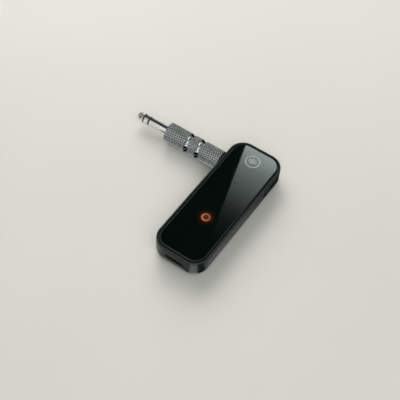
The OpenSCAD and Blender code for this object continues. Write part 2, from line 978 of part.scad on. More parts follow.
// The turned outer barrel, with two smooth grooves and a small lip at each end
module adapter_sleeve() {
    color([0.72, 0.73, 0.73])
    translate([barrel_end, plug_y, plug_z])
        rotate([0, 90, 0]) rotate_extrude() barrel_section();
}

module barrel_section() {
    groove_floor = groove_d / 2;
    near_2 = side_x_to_barrel(groove_2);
    near_1 = side_x_to_barrel(groove_1);
    polygon([
        [barrel_mouth_r, 0],
        [barrel_r - barrel_chamfer, 0],
        [barrel_r, barrel_chamfer],
        [barrel_r, near_2 - groove_w / 2],
        [groove_floor, near_2 - groove_w / 2 + groove_flare],
        [groove_floor, near_2 + groove_w / 2 - groove_flare],
        [barrel_r, near_2 + groove_w / 2],
        [barrel_r, near_1 - groove_w / 2],
        [groove_floor, near_1 - groove_w / 2 + groove_flare],
        [groove_floor, near_1 + groove_w / 2 - groove_flare],
        [barrel_r, near_1 + groove_w / 2],
        [barrel_r, barrel_l - barrel_chamfer],
        [barrel_r - barrel_chamfer, barrel_l],
        [barrel_mouth_r, barrel_l],
        [barrel_mouth_r, barrel_l - barrel_lip],
        [barrel_bore_r, barrel_l - barrel_lip],
        [barrel_bore_r, barrel_lip],
        [barrel_mouth_r, barrel_lip]
    ]);
}

// Turns a distance from the casing into a distance from the barrel's free end
function side_x_to_barrel(distance) = -side_x - distance - barrel_end;

// Two insulating bushes that hold the plugs' roots inside the barrel
module adapter_bushes() {
    bush_len = plug_root - barrel_lip - bush_end_gap;
    color([0.9, 0.9, 0.86])
    for (at_plug = [true, false])
        plug_frame(at_plug)
            translate([-barrel_lip - bush_wall_gap - bush_len, 0, 0])
                difference() {
                    x_bar(barrel_bore_r - bush_wall_gap, bush_len);
                    translate([-cut, 0, 0]) x_bar(root_r + bush_wall_gap, bush_len + 2 * cut);
                }
}

// Three short wires between the two plugs' roots
module link_wires() {
    wire_l = barrel_l - 2 * plug_root - 2 * wire_end_gap;
    color([0.75, 0.4, 0.2])
    for (turn = [0, 120, 240])
        translate([barrel_end + plug_root + wire_end_gap, plug_y, plug_z])
            rotate([turn, 0, 0]) translate([0, 0, wire_spread]) x_bar(wire_r, wire_l);
}

// Puts a plug that points along +X, with its shoulder at the origin, at one end of the barrel
module plug_frame(in_jack) {
    if (in_jack)
        translate([shoulder_x, plug_y, plug_z]) children();
    else
        translate([barrel_end, plug_y, plug_z]) rotate([0, 0, 180]) children();
}

// A solid of revolution about X, from points given as [distance along X, radius]
module turned(points) {
    rotate([0, 90, 0]) rotate_extrude()
        polygon([for (p = points) [p[1], p[0]]]);
}

module plug_tip() {
    bulb_start = tip_start + tip_bulb_at;
    color([0.82, 0.82, 0.8])
    turned([
        [-plug_root, 0],
        [-plug_root, rod_r],
        [tip_start, rod_r],
        [tip_start, tip_shoulder_r],
        [tip_start + tip_neck_at, tip_neck_r],
        [bulb_start, tip_bulb_r],
        [bulb_start + tip_bulb_l, tip_bulb_r],
        [plug_l - tip_nose_l, tip_nose_edge_r],
        [plug_l, tip_nose_r],
        [plug_l, 0]
    ]);
}

module plug_ring() {
    band_start = sleeve_l + band_l;
    color([0.82, 0.82, 0.8])
    turned([
        [ring_step - plug_root, ring_tube_r],
        [ring_step - plug_root, ring_tube_out],
        [band_start, ring_tube_out],
        [band_start, plug_r],
        [band_start + ring_l, plug_r],
        [band_start + ring_l, ring_tube_r]
    ]);
}

module plug_sleeve() {
    color([0.82, 0.82, 0.8])
    turned([
        [sleeve_step - plug_root, sleeve_bore_r],
        [sleeve_step - plug_root, root_r],
        [0, root_r],
        [0, plug_r],
        [sleeve_l, plug_r],
        [sleeve_l, sleeve_bore_r]
    ]);
}

// The two insulators: one between tip and ring, one between ring and sleeve
module plug_insulators() {
    band_start = sleeve_l + band_l + ring_l;
    color([0.05, 0.05, 0.05]) {
        turned([
            [insulator_step - plug_root, rod_r + layer_gap],
            [insulator_step - plug_root, ring_tube_r - layer_gap],
            [band_start + layer_gap, ring_tube_r - layer_gap],
            [band_start + layer_gap, plug_r],
            [tip_start - layer_gap, plug_r],
            [tip_start - layer_gap, rod_r + layer_gap]
        ]);
        turned([
            [outer_insulator_step - plug_root, ring_tube_out + layer_gap],
            [outer_insulator_step - plug_root, sleeve_bore_r - layer_gap],
            [sleeve_l + layer_gap, sleeve_bore_r - layer_gap],
            [sleeve_l + layer_gap, plug_r],
            [sleeve_l + band_l - layer_gap, plug_r],
            [sleeve_l + band_l - layer_gap, ring_tube_out + layer_gap]
        ]);
    }
}

module free_plug_tip() {
    plug_frame(false) plug_tip();
}

module free_plug_ring() {
    plug_frame(false) plug_ring();
}

module free_plug_sleeve() {
    plug_frame(false) plug_sleeve();
}

module free_plug_insulators() {
    plug_frame(false) plug_insulators();
}

module jack_plug_tip() {
    plug_frame(true) plug_tip();
}

module jack_plug_ring() {
    plug_frame(true) plug_ring();
}

module jack_plug_sleeve() {
    plug_frame(true) plug_sleeve();
}

module jack_plug_insulators() {
    plug_frame(true) plug_insulators();
}

// ---- Output ----

lower_shell();
upper_frame();
panel_adhesive();
front_panel();
panel_emblem();
button_cap();
light_ring();
tact_plunger();
tact_dome();
tact_base();
status_leds();
light_shroud();
circuit_board();
board_screws();
bluetooth_chip();
audio_chip();
charge_chip();
crystal();
chip_antenna();
power_inductor();
board_passives();
microphone();
mic_gasket();
battery_cell();
battery_guard_board();
battery_pad();
lead_positive();
lead_negative();
insulating_sheet();
usb_shell();
usb_tongue();
usb_contacts();
jack_housing();
jack_bush();
jack_tip_spring();
jack_ring_spring();
jack_sleeve_spring();
switch_base();
switch_cover();
switch_terminals();
switch_actuator();
switch_contact();
switch_knob();
plug_washer();
adapter_sleeve();
adapter_bushes();
link_wires();
free_plug_tip();
free_plug_ring();
free_plug_sleeve();
free_plug_insulators();
jack_plug_tip();
jack_plug_ring();
jack_plug_sleeve();
jack_plug_insulators();
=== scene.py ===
import math

import bmesh
import bpy
from mathutils import Matrix, Vector


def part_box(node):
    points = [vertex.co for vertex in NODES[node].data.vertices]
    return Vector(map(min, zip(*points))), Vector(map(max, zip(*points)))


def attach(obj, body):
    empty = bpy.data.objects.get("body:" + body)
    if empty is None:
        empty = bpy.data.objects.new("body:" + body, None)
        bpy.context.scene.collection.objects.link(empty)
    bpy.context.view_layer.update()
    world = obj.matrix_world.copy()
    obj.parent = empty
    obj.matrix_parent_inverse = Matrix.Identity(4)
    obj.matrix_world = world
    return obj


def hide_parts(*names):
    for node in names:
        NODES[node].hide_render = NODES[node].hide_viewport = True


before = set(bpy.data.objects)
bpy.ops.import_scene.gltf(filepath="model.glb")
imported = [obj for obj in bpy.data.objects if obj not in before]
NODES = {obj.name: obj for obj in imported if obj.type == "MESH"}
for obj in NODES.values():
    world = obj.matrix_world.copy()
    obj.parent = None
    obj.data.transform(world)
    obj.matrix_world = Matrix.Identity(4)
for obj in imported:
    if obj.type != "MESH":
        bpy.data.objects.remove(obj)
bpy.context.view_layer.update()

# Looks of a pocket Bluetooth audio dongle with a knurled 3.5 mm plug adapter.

MM = 0.001

# ---------------------------------------------------------------- sizes from the model's parts

SHELL_LO, SHELL_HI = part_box("lower_shell")
FRAME_LO, FRAME_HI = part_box("upper_frame")
PANEL_LO, PANEL_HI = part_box("front_panel")
RING_LO, RING_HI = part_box("light_ring")
CAP_LO, CAP_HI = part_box("button_cap")
MIC_LO, MIC_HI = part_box("microphone")
BARREL_LO, BARREL_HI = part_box("adapter_sleeve")
WASHER_LO, WASHER_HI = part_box("plug_washer")
KNOB_LO, KNOB_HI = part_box("switch_knob")
BUSH_LO, BUSH_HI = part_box("jack_bush")
USB_LO, USB_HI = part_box("usb_shell")
STEM_LO, STEM_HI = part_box("switch_actuator")
HOUSING_LO, HOUSING_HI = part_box("jack_housing")

BODY_W = SHELL_HI.x - SHELL_LO.x
BODY_L = SHELL_HI.y - SHELL_LO.y
PANEL_TOP = PANEL_HI.z
PANEL_INSET = PANEL_LO.x - SHELL_LO.x
PLUG_Y = (BARREL_LO.y + BARREL_HI.y) / 2
PLUG_Z = (BARREL_LO.z + BARREL_HI.z) / 2
BARREL_R = (BARREL_HI.y - BARREL_LO.y) / 2
BUTTON = Vector((0, (RING_LO.y + RING_HI.y) / 2, PANEL_TOP))
RING_R = (RING_HI.x - RING_LO.x) / 2
MIC_HOLE_R = 0.25 * MM

# casing: its corners and base edge, the wall, and the lap and lip where the frame sits
CORNER_R = 5.8 * MM
BASE_R = 2.9 * MM
WALL = 1.2 * MM
SEAM_Z = SHELL_HI.z
LAP_Z = FRAME_LO.z
LAP_T = 0.5 * MM
LIP_W = 0.64 * MM
GROOVE_H = 0.2 * MM
SETBACK = FRAME_LO.x - SHELL_LO.x
CORNER_STEPS = 26

# USB slot and the pocket for its shell, then the mode switch's recess and travel
USB_W, USB_H = 8.34 * MM, 2.56 * MM
USB_Z = (USB_LO.z + USB_HI.z) / 2
POCKET_W, POCKET_H = 9.04 * MM, 3.26 * MM
USB_SLOT_DEPTH = 4.8 * MM
RECESS_Y, RECESS_L, RECESS_DEPTH = 17.7 * MM, 11.4 * MM, 0.7 * MM
RECESS_FOOT, RECESS_TOP, RECESS_SLOPE = 1.0 * MM, 6.1 * MM, 1.2 * MM
SWITCH_TRAVEL, STEM_L = 2.0 * MM, 2.0 * MM

# barrel: its grooves' distances from the casing, and its knurl, whose diamonds have flat tops
GROOVE_W = 1.7 * MM
GROOVES = [9.6 * MM, 14.4 * MM]
KNURL_PITCH = 0.9 * MM
KNURL_DEPTH = 0.2 * MM
KNURL_STEPS = 8
KNURL_FLAT = 2.0
# painted shade: the knurl's colour runs from this dark valley tone up to the bright top tone
KNURL_VALLEY_SHADE = (0.06, 0.065, 0.063)
KNURL_TOP = (0.91, 0.95, 0.94)


# ---------------------------------------------------------------- mesh helpers

def new_object(name, bm, sharp_deg=30.0):
    """Turns a bmesh into a smooth-shaded object whose steep edges stay sharp."""
    bmesh.ops.recalc_face_normals(bm, faces=bm.faces)
    limit = math.radians(sharp_deg)
    for face in bm.faces:
        face.smooth = True
    for edge in bm.edges:
        if len(edge.link_faces) == 2 and edge.calc_face_angle(0) > limit:
            edge.smooth = False
    mesh = bpy.data.meshes.new(name)
    bm.to_mesh(mesh)
    bm.free()
    obj = bpy.data.objects.new(name, mesh)
    bpy.context.scene.collection.objects.link(obj)
    return obj


def rounded_outline(w, l, r):
    """Points of a rounded rectangle and their outward normals, anticlockwise."""
    out = []
    for quarter, (sx, sy) in enumerate(((1, 1), (-1, 1), (-1, -1), (1, -1))):
        for k in range(CORNER_STEPS + 1):
            a = math.pi / 2 * (quarter + k / CORNER_STEPS)
            n = Vector((math.cos(a), math.sin(a)))
            out.append((Vector((sx * (w / 2 - r), sy * (l / 2 - r))) + n * r, n))
    return out


def sweep_profile(bm, outline, profile, closed=False):
    """Rings of an outline moved inward by each profile point's inset, at its height."""
    rings = [
        [bm.verts.new((p.x - n.x * inset, p.y - n.y * inset, z)) for p, n in outline]
        for inset, z in profile
    ]
    count = len(outline)
    pairs = list(zip(rings, rings[1:]))
    if closed:
        pairs.append((rings[-1], rings[0]))
    for low, high in pairs:
        for i in range(count):
            j = (i + 1) % count
            bm.faces.new((low[i], low[j], high[j], high[i]))
    return rings


def arc(centre, radius, start_deg, end_deg, steps):
    """Points on an arc in a two-number plane."""
    turns = [math.radians(start_deg + (end_deg - start_deg) * k / steps) for k in range(steps + 1)]
    return [(centre[0] + radius * math.cos(a), centre[1] + radius * math.sin(a)) for a in turns]


def lathe(name, profile, turns=96, closed=False, centre=(0, 0, 0), axis="Z"):
    """Turns a list of (distance along the axis, radius) round an axis through centre."""
    bm = bmesh.new()
    rings = []
    for along, radius in profile:
        if radius < 1e-9:
            rings.append([bm.verts.new((0, 0, along))])
        else:
            rings.append([
                bm.verts.new((radius * math.cos(a), radius * math.sin(a), along))
                for a in (2 * math.pi * i / turns for i in range(turns))
            ])
    pairs = list(zip(rings, rings[1:]))
    if closed:
        pairs.append((rings[-1], rings[0]))
    for low, high in pairs:
        if len(low) == 1 and len(high) == 1:
            continue
        for i in range(turns):
            j = (i + 1) % turns
            if len(low) == 1:
                bm.faces.new((low[0], high[j], high[i]))
            elif len(high) == 1:
                bm.faces.new((low[i], low[j], high[0]))
            else:
                bm.faces.new((low[i], low[j], high[j], high[i]))
    if axis == "X":
        turn = Matrix.Rotation(math.pi / 2, 4, "Y")
    elif axis == "-X":
        turn = Matrix.Rotation(-math.pi / 2, 4, "Y")
    else:
        turn = Matrix.Identity(4)
    bmesh.ops.transform(bm, matrix=Matrix.Translation(Vector(centre)) @ turn, verts=bm.verts)
    return new_object(name, bm)


def box_object(name, low, high):
    """A plain box between two corners, used only to cut with."""
    bm = bmesh.new()
    size = Vector(high) - Vector(low)
    middle = (Vector(high) + Vector(low)) / 2
    bmesh.ops.create_cube(bm, size=1)
    bmesh.ops.scale(bm, vec=size, verts=bm.verts)
    bmesh.ops.translate(bm, vec=middle, verts=bm.verts)
    return new_object(name, bm)


def raised_copy(name, node, rise):
    """A copy of a CAD node whose upper faces stand a little higher, to cut its pocket."""
    bm = bmesh.new()
    bm.from_mesh(NODES[node].data)
    bmesh.ops.remove_doubles(bm, verts=bm.verts, dist=0.0001 * MM)
    top = max(v.co.z for v in bm.verts)
    for vert in bm.verts:
        if top - vert.co.z < 0.001 * MM:
            vert.co.z += rise
    return new_object(name, bm)


def stadium_cutter(name, centre, width, height, depth):
    """A bar along Y with round ends in X, to cut a port's slot."""
    bm = bmesh.new()
    r = height / 2
    steps = 20
    points = []
    for side, start in ((1, -90), (-1, 90)):
        points += [
            (side * (width / 2 - r) + x, z)
            for x, z in arc((0, 0), r, start, start + 180, steps)
        ]
    rings = [
        [bm.verts.new((centre[0] + x, centre[1] + y, centre[2] + z)) for x, z in points]
        for y in (-depth / 2, depth / 2)
    ]
    for i in range(len(points)):
        j = (i + 1) % len(points)
        bm.faces.new((rings[0][i], rings[0][j], rings[1][j], rings[1][i]))
    bm.faces.new(rings[0])
    bm.faces.new(list(reversed(rings[1])))
    return new_object(name, bm)


def prism(name, points, height):
    """A prism from X = 0 to its height, from (y, z) points."""
    bm = bmesh.new()
    start = [bm.verts.new((0, y, z)) for y, z in points]
    end = [bm.verts.new((height, y, z)) for y, z in points]
    count = len(points)
    for i in range(count):
        j = (i + 1) % count
        bm.faces.new((start[i], start[j], end[j], end[i]))
    bm.faces.new(start)
    bm.faces.new(list(reversed(end)))
    return new_object(name, bm)


def apply_modifiers(obj):
    """Replaces the object's mesh with its evaluated one."""
    bpy.context.view_layer.update()
    graph = bpy.context.evaluated_depsgraph_get()
    mesh = bpy.data.meshes.new_from_object(obj.evaluated_get(graph), depsgraph=graph)
    obj.modifiers.clear()
    old = obj.data
    obj.data = mesh
    bpy.data.meshes.remove(old)


def cut(obj, cutters):
    """Takes each cutter away from obj, and deletes the cutters."""
    for cutter in cutters:
        mod = obj.modifiers.new("cut", "BOOLEAN")
        mod.operation = "DIFFERENCE"
        mod.solver = "EXACT"
        mod.object = cutter
    apply_modifiers(obj)
    for cutter in cutters:
        bpy.data.objects.remove(cutter)


def soften_edges(obj, width, angle_deg):
    """Rounds the sharp edges a little, and keeps the large faces flat."""
    mod = obj.modifiers.new("round", "BEVEL")
    mod.width = width
    mod.segments = 2
    mod.limit_method = "ANGLE"
    mod.angle_limit = math.radians(angle_deg)
    mod.use_clamp_overlap = False
    mod.harden_normals = False
    mod.miter_outer = "MITER_ARC"
    apply_modifiers(obj)


def shade(obj, sharp_deg=30.0):
    """Smooth shading that leaves steep edges sharp, with normals led by the larger faces."""
    bm = bmesh.new()
    bm.from_mesh(obj.data)
    limit = math.radians(sharp_deg)
    for face in bm.faces:
        face.smooth = True
    for edge in bm.edges:
        flat = len(edge.link_faces) == 2 and edge.calc_face_angle(0) <= limit
        edge.smooth = flat
    bm.to_mesh(obj.data)
    bm.free()
    mod = obj.modifiers.new("normals", "WEIGHTED_NORMAL")
    mod.keep_sharp = True
    mod.weight = 80


# ---------------------------------------------------------------- material helpers

class Nodes:
    """A short way to add shader nodes and links."""

    def __init__(self, name):
        self.mat = bpy.data.materials.new(name)
        self.mat.use_nodes = True
        self.tree = self.mat.node_tree
        self.shader = self.tree.nodes["Principled BSDF"]

    def add(self, kind, **values):
        node = self.tree.nodes.new(kind)
        for key, value in values.items():
            if key in node.inputs:
                node.inputs[key].default_value = value
            else:
                setattr(node, key, value)
        return node

    def link(self, source, target):
        self.tree.links.new(source, target)

    def coords(self):
        return self.add("ShaderNodeTexCoord").outputs["Object"]

    def noise(self, scale, detail=4.0, vector=None):
        node = self.add("ShaderNodeTexNoise", Scale=scale, Detail=detail, Roughness=0.55)
        self.link(vector or self.coords(), node.inputs["Vector"])
        return node.outputs["Fac"]

    def stretched(self, scale):
        node = self.add("ShaderNodeMapping", Scale=scale)
        self.link(self.coords(), node.inputs["Vector"])
        return node.outputs["Vector"]

    def remap(self, source, low, high, from_low=0.3, from_high=0.7):
        node = self.add("ShaderNodeMapRange")
        node.inputs["From Min"].default_value = from_low
        node.inputs["From Max"].default_value = from_high
        node.inputs["To Min"].default_value = low
        node.inputs["To Max"].default_value = high
        self.link(source, node.inputs["Value"])
        return node.outputs["Result"]

    def mix_colors(self, factor, a, b):
        node = self.add("ShaderNodeMix", data_type="RGBA")
        self.link(factor, node.inputs["Factor"])
        node.inputs[6].default_value = (*a, 1)
        node.inputs[7].default_value = (*b, 1)
        return node.outputs[2]

    def bump(self, height, strength, distance):
        node = self.add("ShaderNodeBump", Strength=strength, Distance=distance)
        self.link(height, node.inputs["Height"])
        self.link(node.outputs["Normal"], self.shader.inputs["Normal"])

    def set(self, **values):
        for key, value in values.items():
            self.shader.inputs[key.replace("_", " ")].default_value = value


def moulded_plastic(name, base, worn, rough=(0.38, 0.5), grain=9000.0, bump=0.12, coat=0.0, gloss=0.5):
    """Moulded plastic: fine spark-eroded grain, handling marks and slightly uneven gloss."""
    m = Nodes(name)
    m.set(Coat_Weight=coat, Coat_Roughness=0.2, Specular_IOR_Level=gloss)
    blotch = m.noise(140.0)
    m.link(m.mix_colors(m.remap(blotch, 0.0, 1.0), base, worn), m.shader.inputs["Base Color"])
    m.link(m.remap(m.noise(420.0, 6.0), rough[0], rough[1]), m.shader.inputs["Roughness"])
    m.bump(m.noise(grain, 3.0), bump, 0.00002)
    return m.mat


def metal(name, base, tint, rough=(0.2, 0.34), stretch=(1, 1, 1), grain=2500.0, bump=0.08):
    """Metal with fine tooling lines along the stretched direction."""
    m = Nodes(name)
    m.set(Metallic=1.0)
    lines = m.noise(grain, 3.0, vector=m.stretched(stretch))
    m.link(m.mix_colors(m.remap(m.noise(160.0), 0.0, 1.0), base, tint), m.shader.inputs["Base Color"])
    m.link(m.remap(lines, rough[0], rough[1]), m.shader.inputs["Roughness"])
    m.bump(lines, bump, 0.00001)
    return m.mat


def knurled_metal():
    """Satin metal with painted shade: its colour darkens into the knurl's valleys, and a grey edge tint
    darkens its reflections towards the outline.
    """
    m = Nodes("satin_barrel")
    # painted shade: the grey edge tint darkens the barrel's reflections at its outline
    m.set(Metallic=1.0, Specular_Tint=(0.2, 0.2, 0.2, 1))
    split = m.add("ShaderNodeSeparateXYZ")
    m.link(m.coords(), split.inputs[0])
    flat = m.add("ShaderNodeCombineXYZ", X=0.0)
    m.link(split.outputs["Y"], flat.inputs["Y"])
    m.link(split.outputs["Z"], flat.inputs["Z"])
    radius = m.add("ShaderNodeVectorMath", operation="DISTANCE")
    m.link(flat.outputs[0], radius.inputs[0])
    radius.inputs[1].default_value = (0, PLUG_Y, PLUG_Z)
    # painted shade: the base colour darkens with depth into the knurl
    low, high = BARREL_R - 0.6 * KNURL_DEPTH, BARREL_R - 0.05 * KNURL_DEPTH
    height = m.remap(radius.outputs["Value"], 0.0, 1.0, low, high)
    m.link(m.mix_colors(height, KNURL_VALLEY_SHADE, KNURL_TOP), m.shader.inputs["Base Color"])
    m.link(m.remap(m.noise(900.0, 5.0), 0.18, 0.28), m.shader.inputs["Roughness"])
    m.bump(m.noise(4000.0, 3.0, vector=m.stretched((6, 1, 1))), 0.1, 0.00001)
    return m.mat


def polished_groove():
    """Turned bright metal with painted shade: its colour goes dark where it curves away from the eye,
    and a black edge tint darkens its grazing reflections.
    """
    m = Nodes("polished_groove")
    m.set(Metallic=1.0, Specular_Tint=(0, 0, 0, 1))
    view_angle = m.add("ShaderNodeLayerWeight", Blend=0.5)
    # painted shade: the colour turns dark as the surface turns away from the eye
    away = m.remap(view_angle.outputs["Facing"], 0.0, 1.0, 0.34, 0.48)
    m.link(m.mix_colors(away, (0.80, 0.83, 0.82), (0.015, 0.02, 0.018)), m.shader.inputs["Base Color"])
    lines = m.noise(2500.0, 3.0, vector=m.stretched((12, 1, 1)))
    m.link(m.remap(lines, 0.08, 0.16), m.shader.inputs["Roughness"])
    m.bump(lines, 0.08, 0.00001)
    return m.mat


def painted_shade_mouth():
    """Port walls with painted light and shade: paler near the outside face, and dark further in."""
    m = Nodes("painted_shade_mouth")
    split = m.add("ShaderNodeSeparateXYZ")
    m.link(m.coords(), split.inputs[0])
    # painted light near the slot's outside face, painted shade deeper in
    painted_light_lip, dark = (0.125, 0.145, 0.14), (0.010, 0.013, 0.012)
    depth = m.remap(split.outputs["Y"], 0.0, 1.0, SHELL_LO.y + 0.3 * MM, SHELL_LO.y + 0.75 * MM)
    m.link(m.mix_colors(depth, painted_light_lip, dark), m.shader.inputs["Base Color"])
    m.link(m.remap(m.noise(1400.0, 5.0), 0.4, 0.6), m.shader.inputs["Roughness"])
    m.bump(m.noise(6000.0, 3.0, vector=m.stretched((1, 0.2, 1))), 0.2, 0.00002)
    return m.mat


def gloss_panel_material():
    """Polished smoked acrylic over black, with faint smears and the ring's light bleeding through."""
    m = Nodes("gloss_panel")
    m.set(IOR=1.5, Coat_Weight=0.0)
    smears = m.remap(m.noise(60.0), 0.0, 1.0)
    black = m.mix_colors(smears, (0.0006, 0.0030, 0.0023), (0.0008, 0.0034, 0.0026))
    m.link(black, m.shader.inputs["Base Color"])
    m.link(m.remap(m.noise(260.0, 5.0), 0.012, 0.03), m.shader.inputs["Roughness"])
    m.bump(m.noise(35.0, 1.0), 0.02, 0.00001)
    offset = m.add("ShaderNodeVectorMath", operation="DISTANCE")
    m.link(m.coords(), offset.inputs[0])
    offset.inputs[1].default_value = BUTTON
    fall = m.add("ShaderNodeValToRGB")
    reach = 4.2 * MM
    fall.color_ramp.interpolation = "B_SPLINE"
    stops = fall.color_ramp.elements
    stops[0].position, stops[0].color = RING_R / reach, (0.42, 0.050, 0.004, 1)
    stops[1].position, stops[1].color = 1.0, (0.0, 0.0, 0.0, 1)
    for position, level in ((0.48, 0.62), (0.58, 0.28), (0.70, 0.09)):
        stop = stops.new(position)
        stop.color = (0.42 * level, 0.040 * level, 0.003 * level, 1)
    scaled = m.add("ShaderNodeMath", operation="DIVIDE")
    m.link(offset.outputs["Value"], scaled.inputs[0])
    scaled.inputs[1].default_value = reach
    m.link(scaled.outputs[0], fall.inputs["Fac"])
    m.link(fall.outputs["Color"], m.shader.inputs["Emission Color"])
    m.set(Emission_Strength=0.13)
    return m.mat


def glow_material(name, color, strength, low=0.8, far=1.0):
    """Lit translucent plastic, uneven in brightness and dimmer away from its light by the factor far."""
    m = Nodes(name)
    m.set(Base_Color=(*(c * 0.12 for c in color), 1), Roughness=0.35, Specular_IOR_Level=0.15)
    m.set(Emission_Strength=strength)
    patchy = m.mix_colors(m.noise(900.0, 2.0), tuple(c * low for c in color), color)
    split = m.add("ShaderNodeSeparateXYZ")
    m.link(m.coords(), split.inputs[0])
    across = m.add("ShaderNodeMath", operation="ADD")
    m.link(split.outputs["X"], across.inputs[0])
    m.link(split.outputs["Y"], across.inputs[1])
    middle = BUTTON.x + BUTTON.y
    level = m.remap(across.outputs[0], 1.0, far, middle - RING_R, middle + RING_R)
    lit = m.add("ShaderNodeVectorMath", operation="SCALE")
    m.link(patchy, lit.inputs[0])
    m.link(level, lit.inputs["Scale"])
    m.link(lit.outputs["Vector"], m.shader.inputs["Emission Color"])
    m.bump(m.noise(5000.0), 0.05, 0.00001)
    return m.mat


MATERIALS = {
    "shell": moulded_plastic(
        "shell_plastic", (0.008, 0.012, 0.011), (0.012, 0.017, 0.015), rough=(0.24, 0.32), gloss=0.22
    ),
    "frame": moulded_plastic(
        "frame_plastic", (0.014, 0.020, 0.018), (0.018, 0.025, 0.022), rough=(0.24, 0.34), gloss=0.3
    ),
    "panel": gloss_panel_material(),
    "panel_edge": moulded_plastic(
        "panel_edge", (0.014, 0.020, 0.018), (0.018, 0.025, 0.022), rough=(0.3, 0.4), bump=0.05
    ),
    "print": moulded_plastic("pale_print", (0.275, 0.305, 0.295), (0.32, 0.35, 0.34), rough=(0.4, 0.55)),
    "ring": glow_material("lit_ring", (0.32, 0.132, 0.076), 1.0, far=0.55),
    "cap": glow_material("smoked_cap", (0.084, 0.015, 0.0), 1.0, low=0.7),
    "black": moulded_plastic("black_plastic", (0.012, 0.012, 0.013), (0.018, 0.018, 0.019)),
    "knob": moulded_plastic(
        "knob_plastic", (0.010, 0.012, 0.012), (0.016, 0.018, 0.018), rough=(0.45, 0.6)
    ),
    "white": moulded_plastic("white_plastic", (0.72, 0.72, 0.68), (0.78, 0.78, 0.74)),
    "natural": moulded_plastic("natural_plastic", (0.66, 0.65, 0.58), (0.72, 0.71, 0.64)),
    # painted shade in the knurl's valleys and at the barrel's outline
    "barrel": knurled_metal(),
    # painted shade at the grooves' edges
    "groove": polished_groove(),
    # painted light and shade on the USB slot's walls
    "mouth": painted_shade_mouth(),
    # painted shade: the shell's plastic with far less gloss, so the recess reads dark
    "recess": moulded_plastic(
        "recess_shade_plastic", (0.008, 0.011, 0.010), (0.012, 0.016, 0.015), rough=(0.55, 0.7), gloss=0.06
    ),
    "plating": metal(
        "plug_plating", (0.74, 0.74, 0.71), (0.82, 0.81, 0.78), rough=(0.1, 0.2), stretch=(10, 1, 1)
    ),
    "steel": metal(
        "stamped_steel", (0.48, 0.49, 0.50), (0.56, 0.57, 0.58), rough=(0.22, 0.36), stretch=(1, 1, 6)
    ),
    "gold": metal("gold_contact", (0.75, 0.52, 0.19), (0.82, 0.60, 0.25), rough=(0.16, 0.3)),
    "copper": metal(
        "copper_wire", (0.66, 0.28, 0.13), (0.74, 0.34, 0.17), rough=(0.22, 0.36), stretch=(8, 1, 1)
    ),
    "foil": metal(
        "cell_foil", (0.56, 0.58, 0.60), (0.64, 0.66, 0.68), rough=(0.25, 0.5), grain=700.0, bump=0.25
    ),
    "mask": moulded_plastic(
        "board_mask", (0.008, 0.065, 0.028), (0.012, 0.085, 0.038), rough=(0.2, 0.34), coat=0.4
    ),
    "epoxy": moulded_plastic(
        "chip_epoxy", (0.015, 0.015, 0.017), (0.022, 0.022, 0.024), rough=(0.5, 0.65)
    ),
    "ceramic": moulded_plastic("ceramic_part", (0.52, 0.44, 0.31), (0.60, 0.52, 0.38), rough=(0.3, 0.5)),
    "ferrite": moulded_plastic("ferrite", (0.06, 0.06, 0.068), (0.09, 0.09, 0.098), rough=(0.45, 0.6)),
    "led": glow_material("led_body", (1.0, 0.72, 0.35), 0.4),
    "foam": moulded_plastic(
        "foam", (0.025, 0.025, 0.025), (0.04, 0.04, 0.04), rough=(0.85, 0.95), grain=3500.0, bump=0.8
    ),
    "film": moulded_plastic(
        "amber_film", (0.42, 0.17, 0.015), (0.5, 0.22, 0.02), rough=(0.15, 0.3), coat=0.5
    ),
    "red_wire": moulded_plastic("red_wire", (0.42, 0.012, 0.01), (0.5, 0.02, 0.014)),
    "black_wire": moulded_plastic("black_wire", (0.01, 0.01, 0.01), (0.015, 0.015, 0.015)),
}


def finish_piece(obj, material, body, nodes):
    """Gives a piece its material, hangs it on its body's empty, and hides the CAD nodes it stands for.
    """
    obj.data.materials.append(MATERIALS[material])
    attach(obj, body)
    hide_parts(*nodes)
    return obj


# ---------------------------------------------------------------- casing

OUTLINE = rounded_outline(BODY_W, BODY_L, CORNER_R)


def make_shell():
    """The lower shell: a tray with a round base edge, its lap for the frame and all its openings."""
    edge = 0.12 * MM
    lap_edge = 0.04 * MM
    lap_floor = LAP_Z - 0.05 * MM
    inner_base = BASE_R - WALL
    profile = arc((BASE_R, BASE_R), BASE_R, -90, -180, 14)
    profile += arc((edge, SEAM_Z - edge), edge, 180, 90, 5)
    profile += [(LAP_T - lap_edge, SEAM_Z), (LAP_T, SEAM_Z - lap_edge)]
    profile += [(LAP_T, lap_floor), (WALL, lap_floor)]
    inside = arc((0, WALL + inner_base), inner_base, 0, -90, 8)
    profile += [(WALL + inner_base - x, z) for x, z in inside]
    bm = bmesh.new()
    rings = sweep_profile(bm, OUTLINE, profile)
    bm.faces.new(rings[0])
    bm.faces.new(list(reversed(rings[-1])))
    shell = new_object("casing_shell", bm)
    cut(shell, shell_cutters())
    soften_edges(shell, 0.07 * MM, 50.0)
    shade(shell, 35.0)
    finish_piece(shell, "shell", "casing", ["lower_shell"])
    shell.data.materials.append(MATERIALS["mouth"])
    shell.data.materials.append(MATERIALS["recess"])
    for face in shell.data.polygons:
        if in_usb_slot(face):
            # the slot's walls: painted light near the face, painted shade further in
            face.material_index = 1
        elif in_recess(face):
            # the recess's faces: painted shade
            face.material_index = 2


def in_usb_slot(face):
    """Whether a face is one of the walls of the USB slot."""
    off = face.center - Vector((0, SHELL_LO.y, USB_Z))
    reach = Vector((USB_W, 2 * WALL, USB_H)) / 2 + Vector((1, 1, 1)) * 0.06 * MM
    inside = abs(off.x) < reach.x and off.y < reach.y and abs(off.z) < reach.z
    return inside and abs(face.normal.y) < 0.9


def in_recess(face):
    """Whether a face is in the mode switch's recess."""
    at = face.center
    sunk = SHELL_HI.x - 1.5 * MM < at.x < SHELL_HI.x - 0.08 * MM
    inside = abs(at.y - RECESS_Y) < RECESS_L / 2 and RECESS_FOOT < at.z < RECESS_TOP
    return sunk and inside and face.normal.x > -0.5


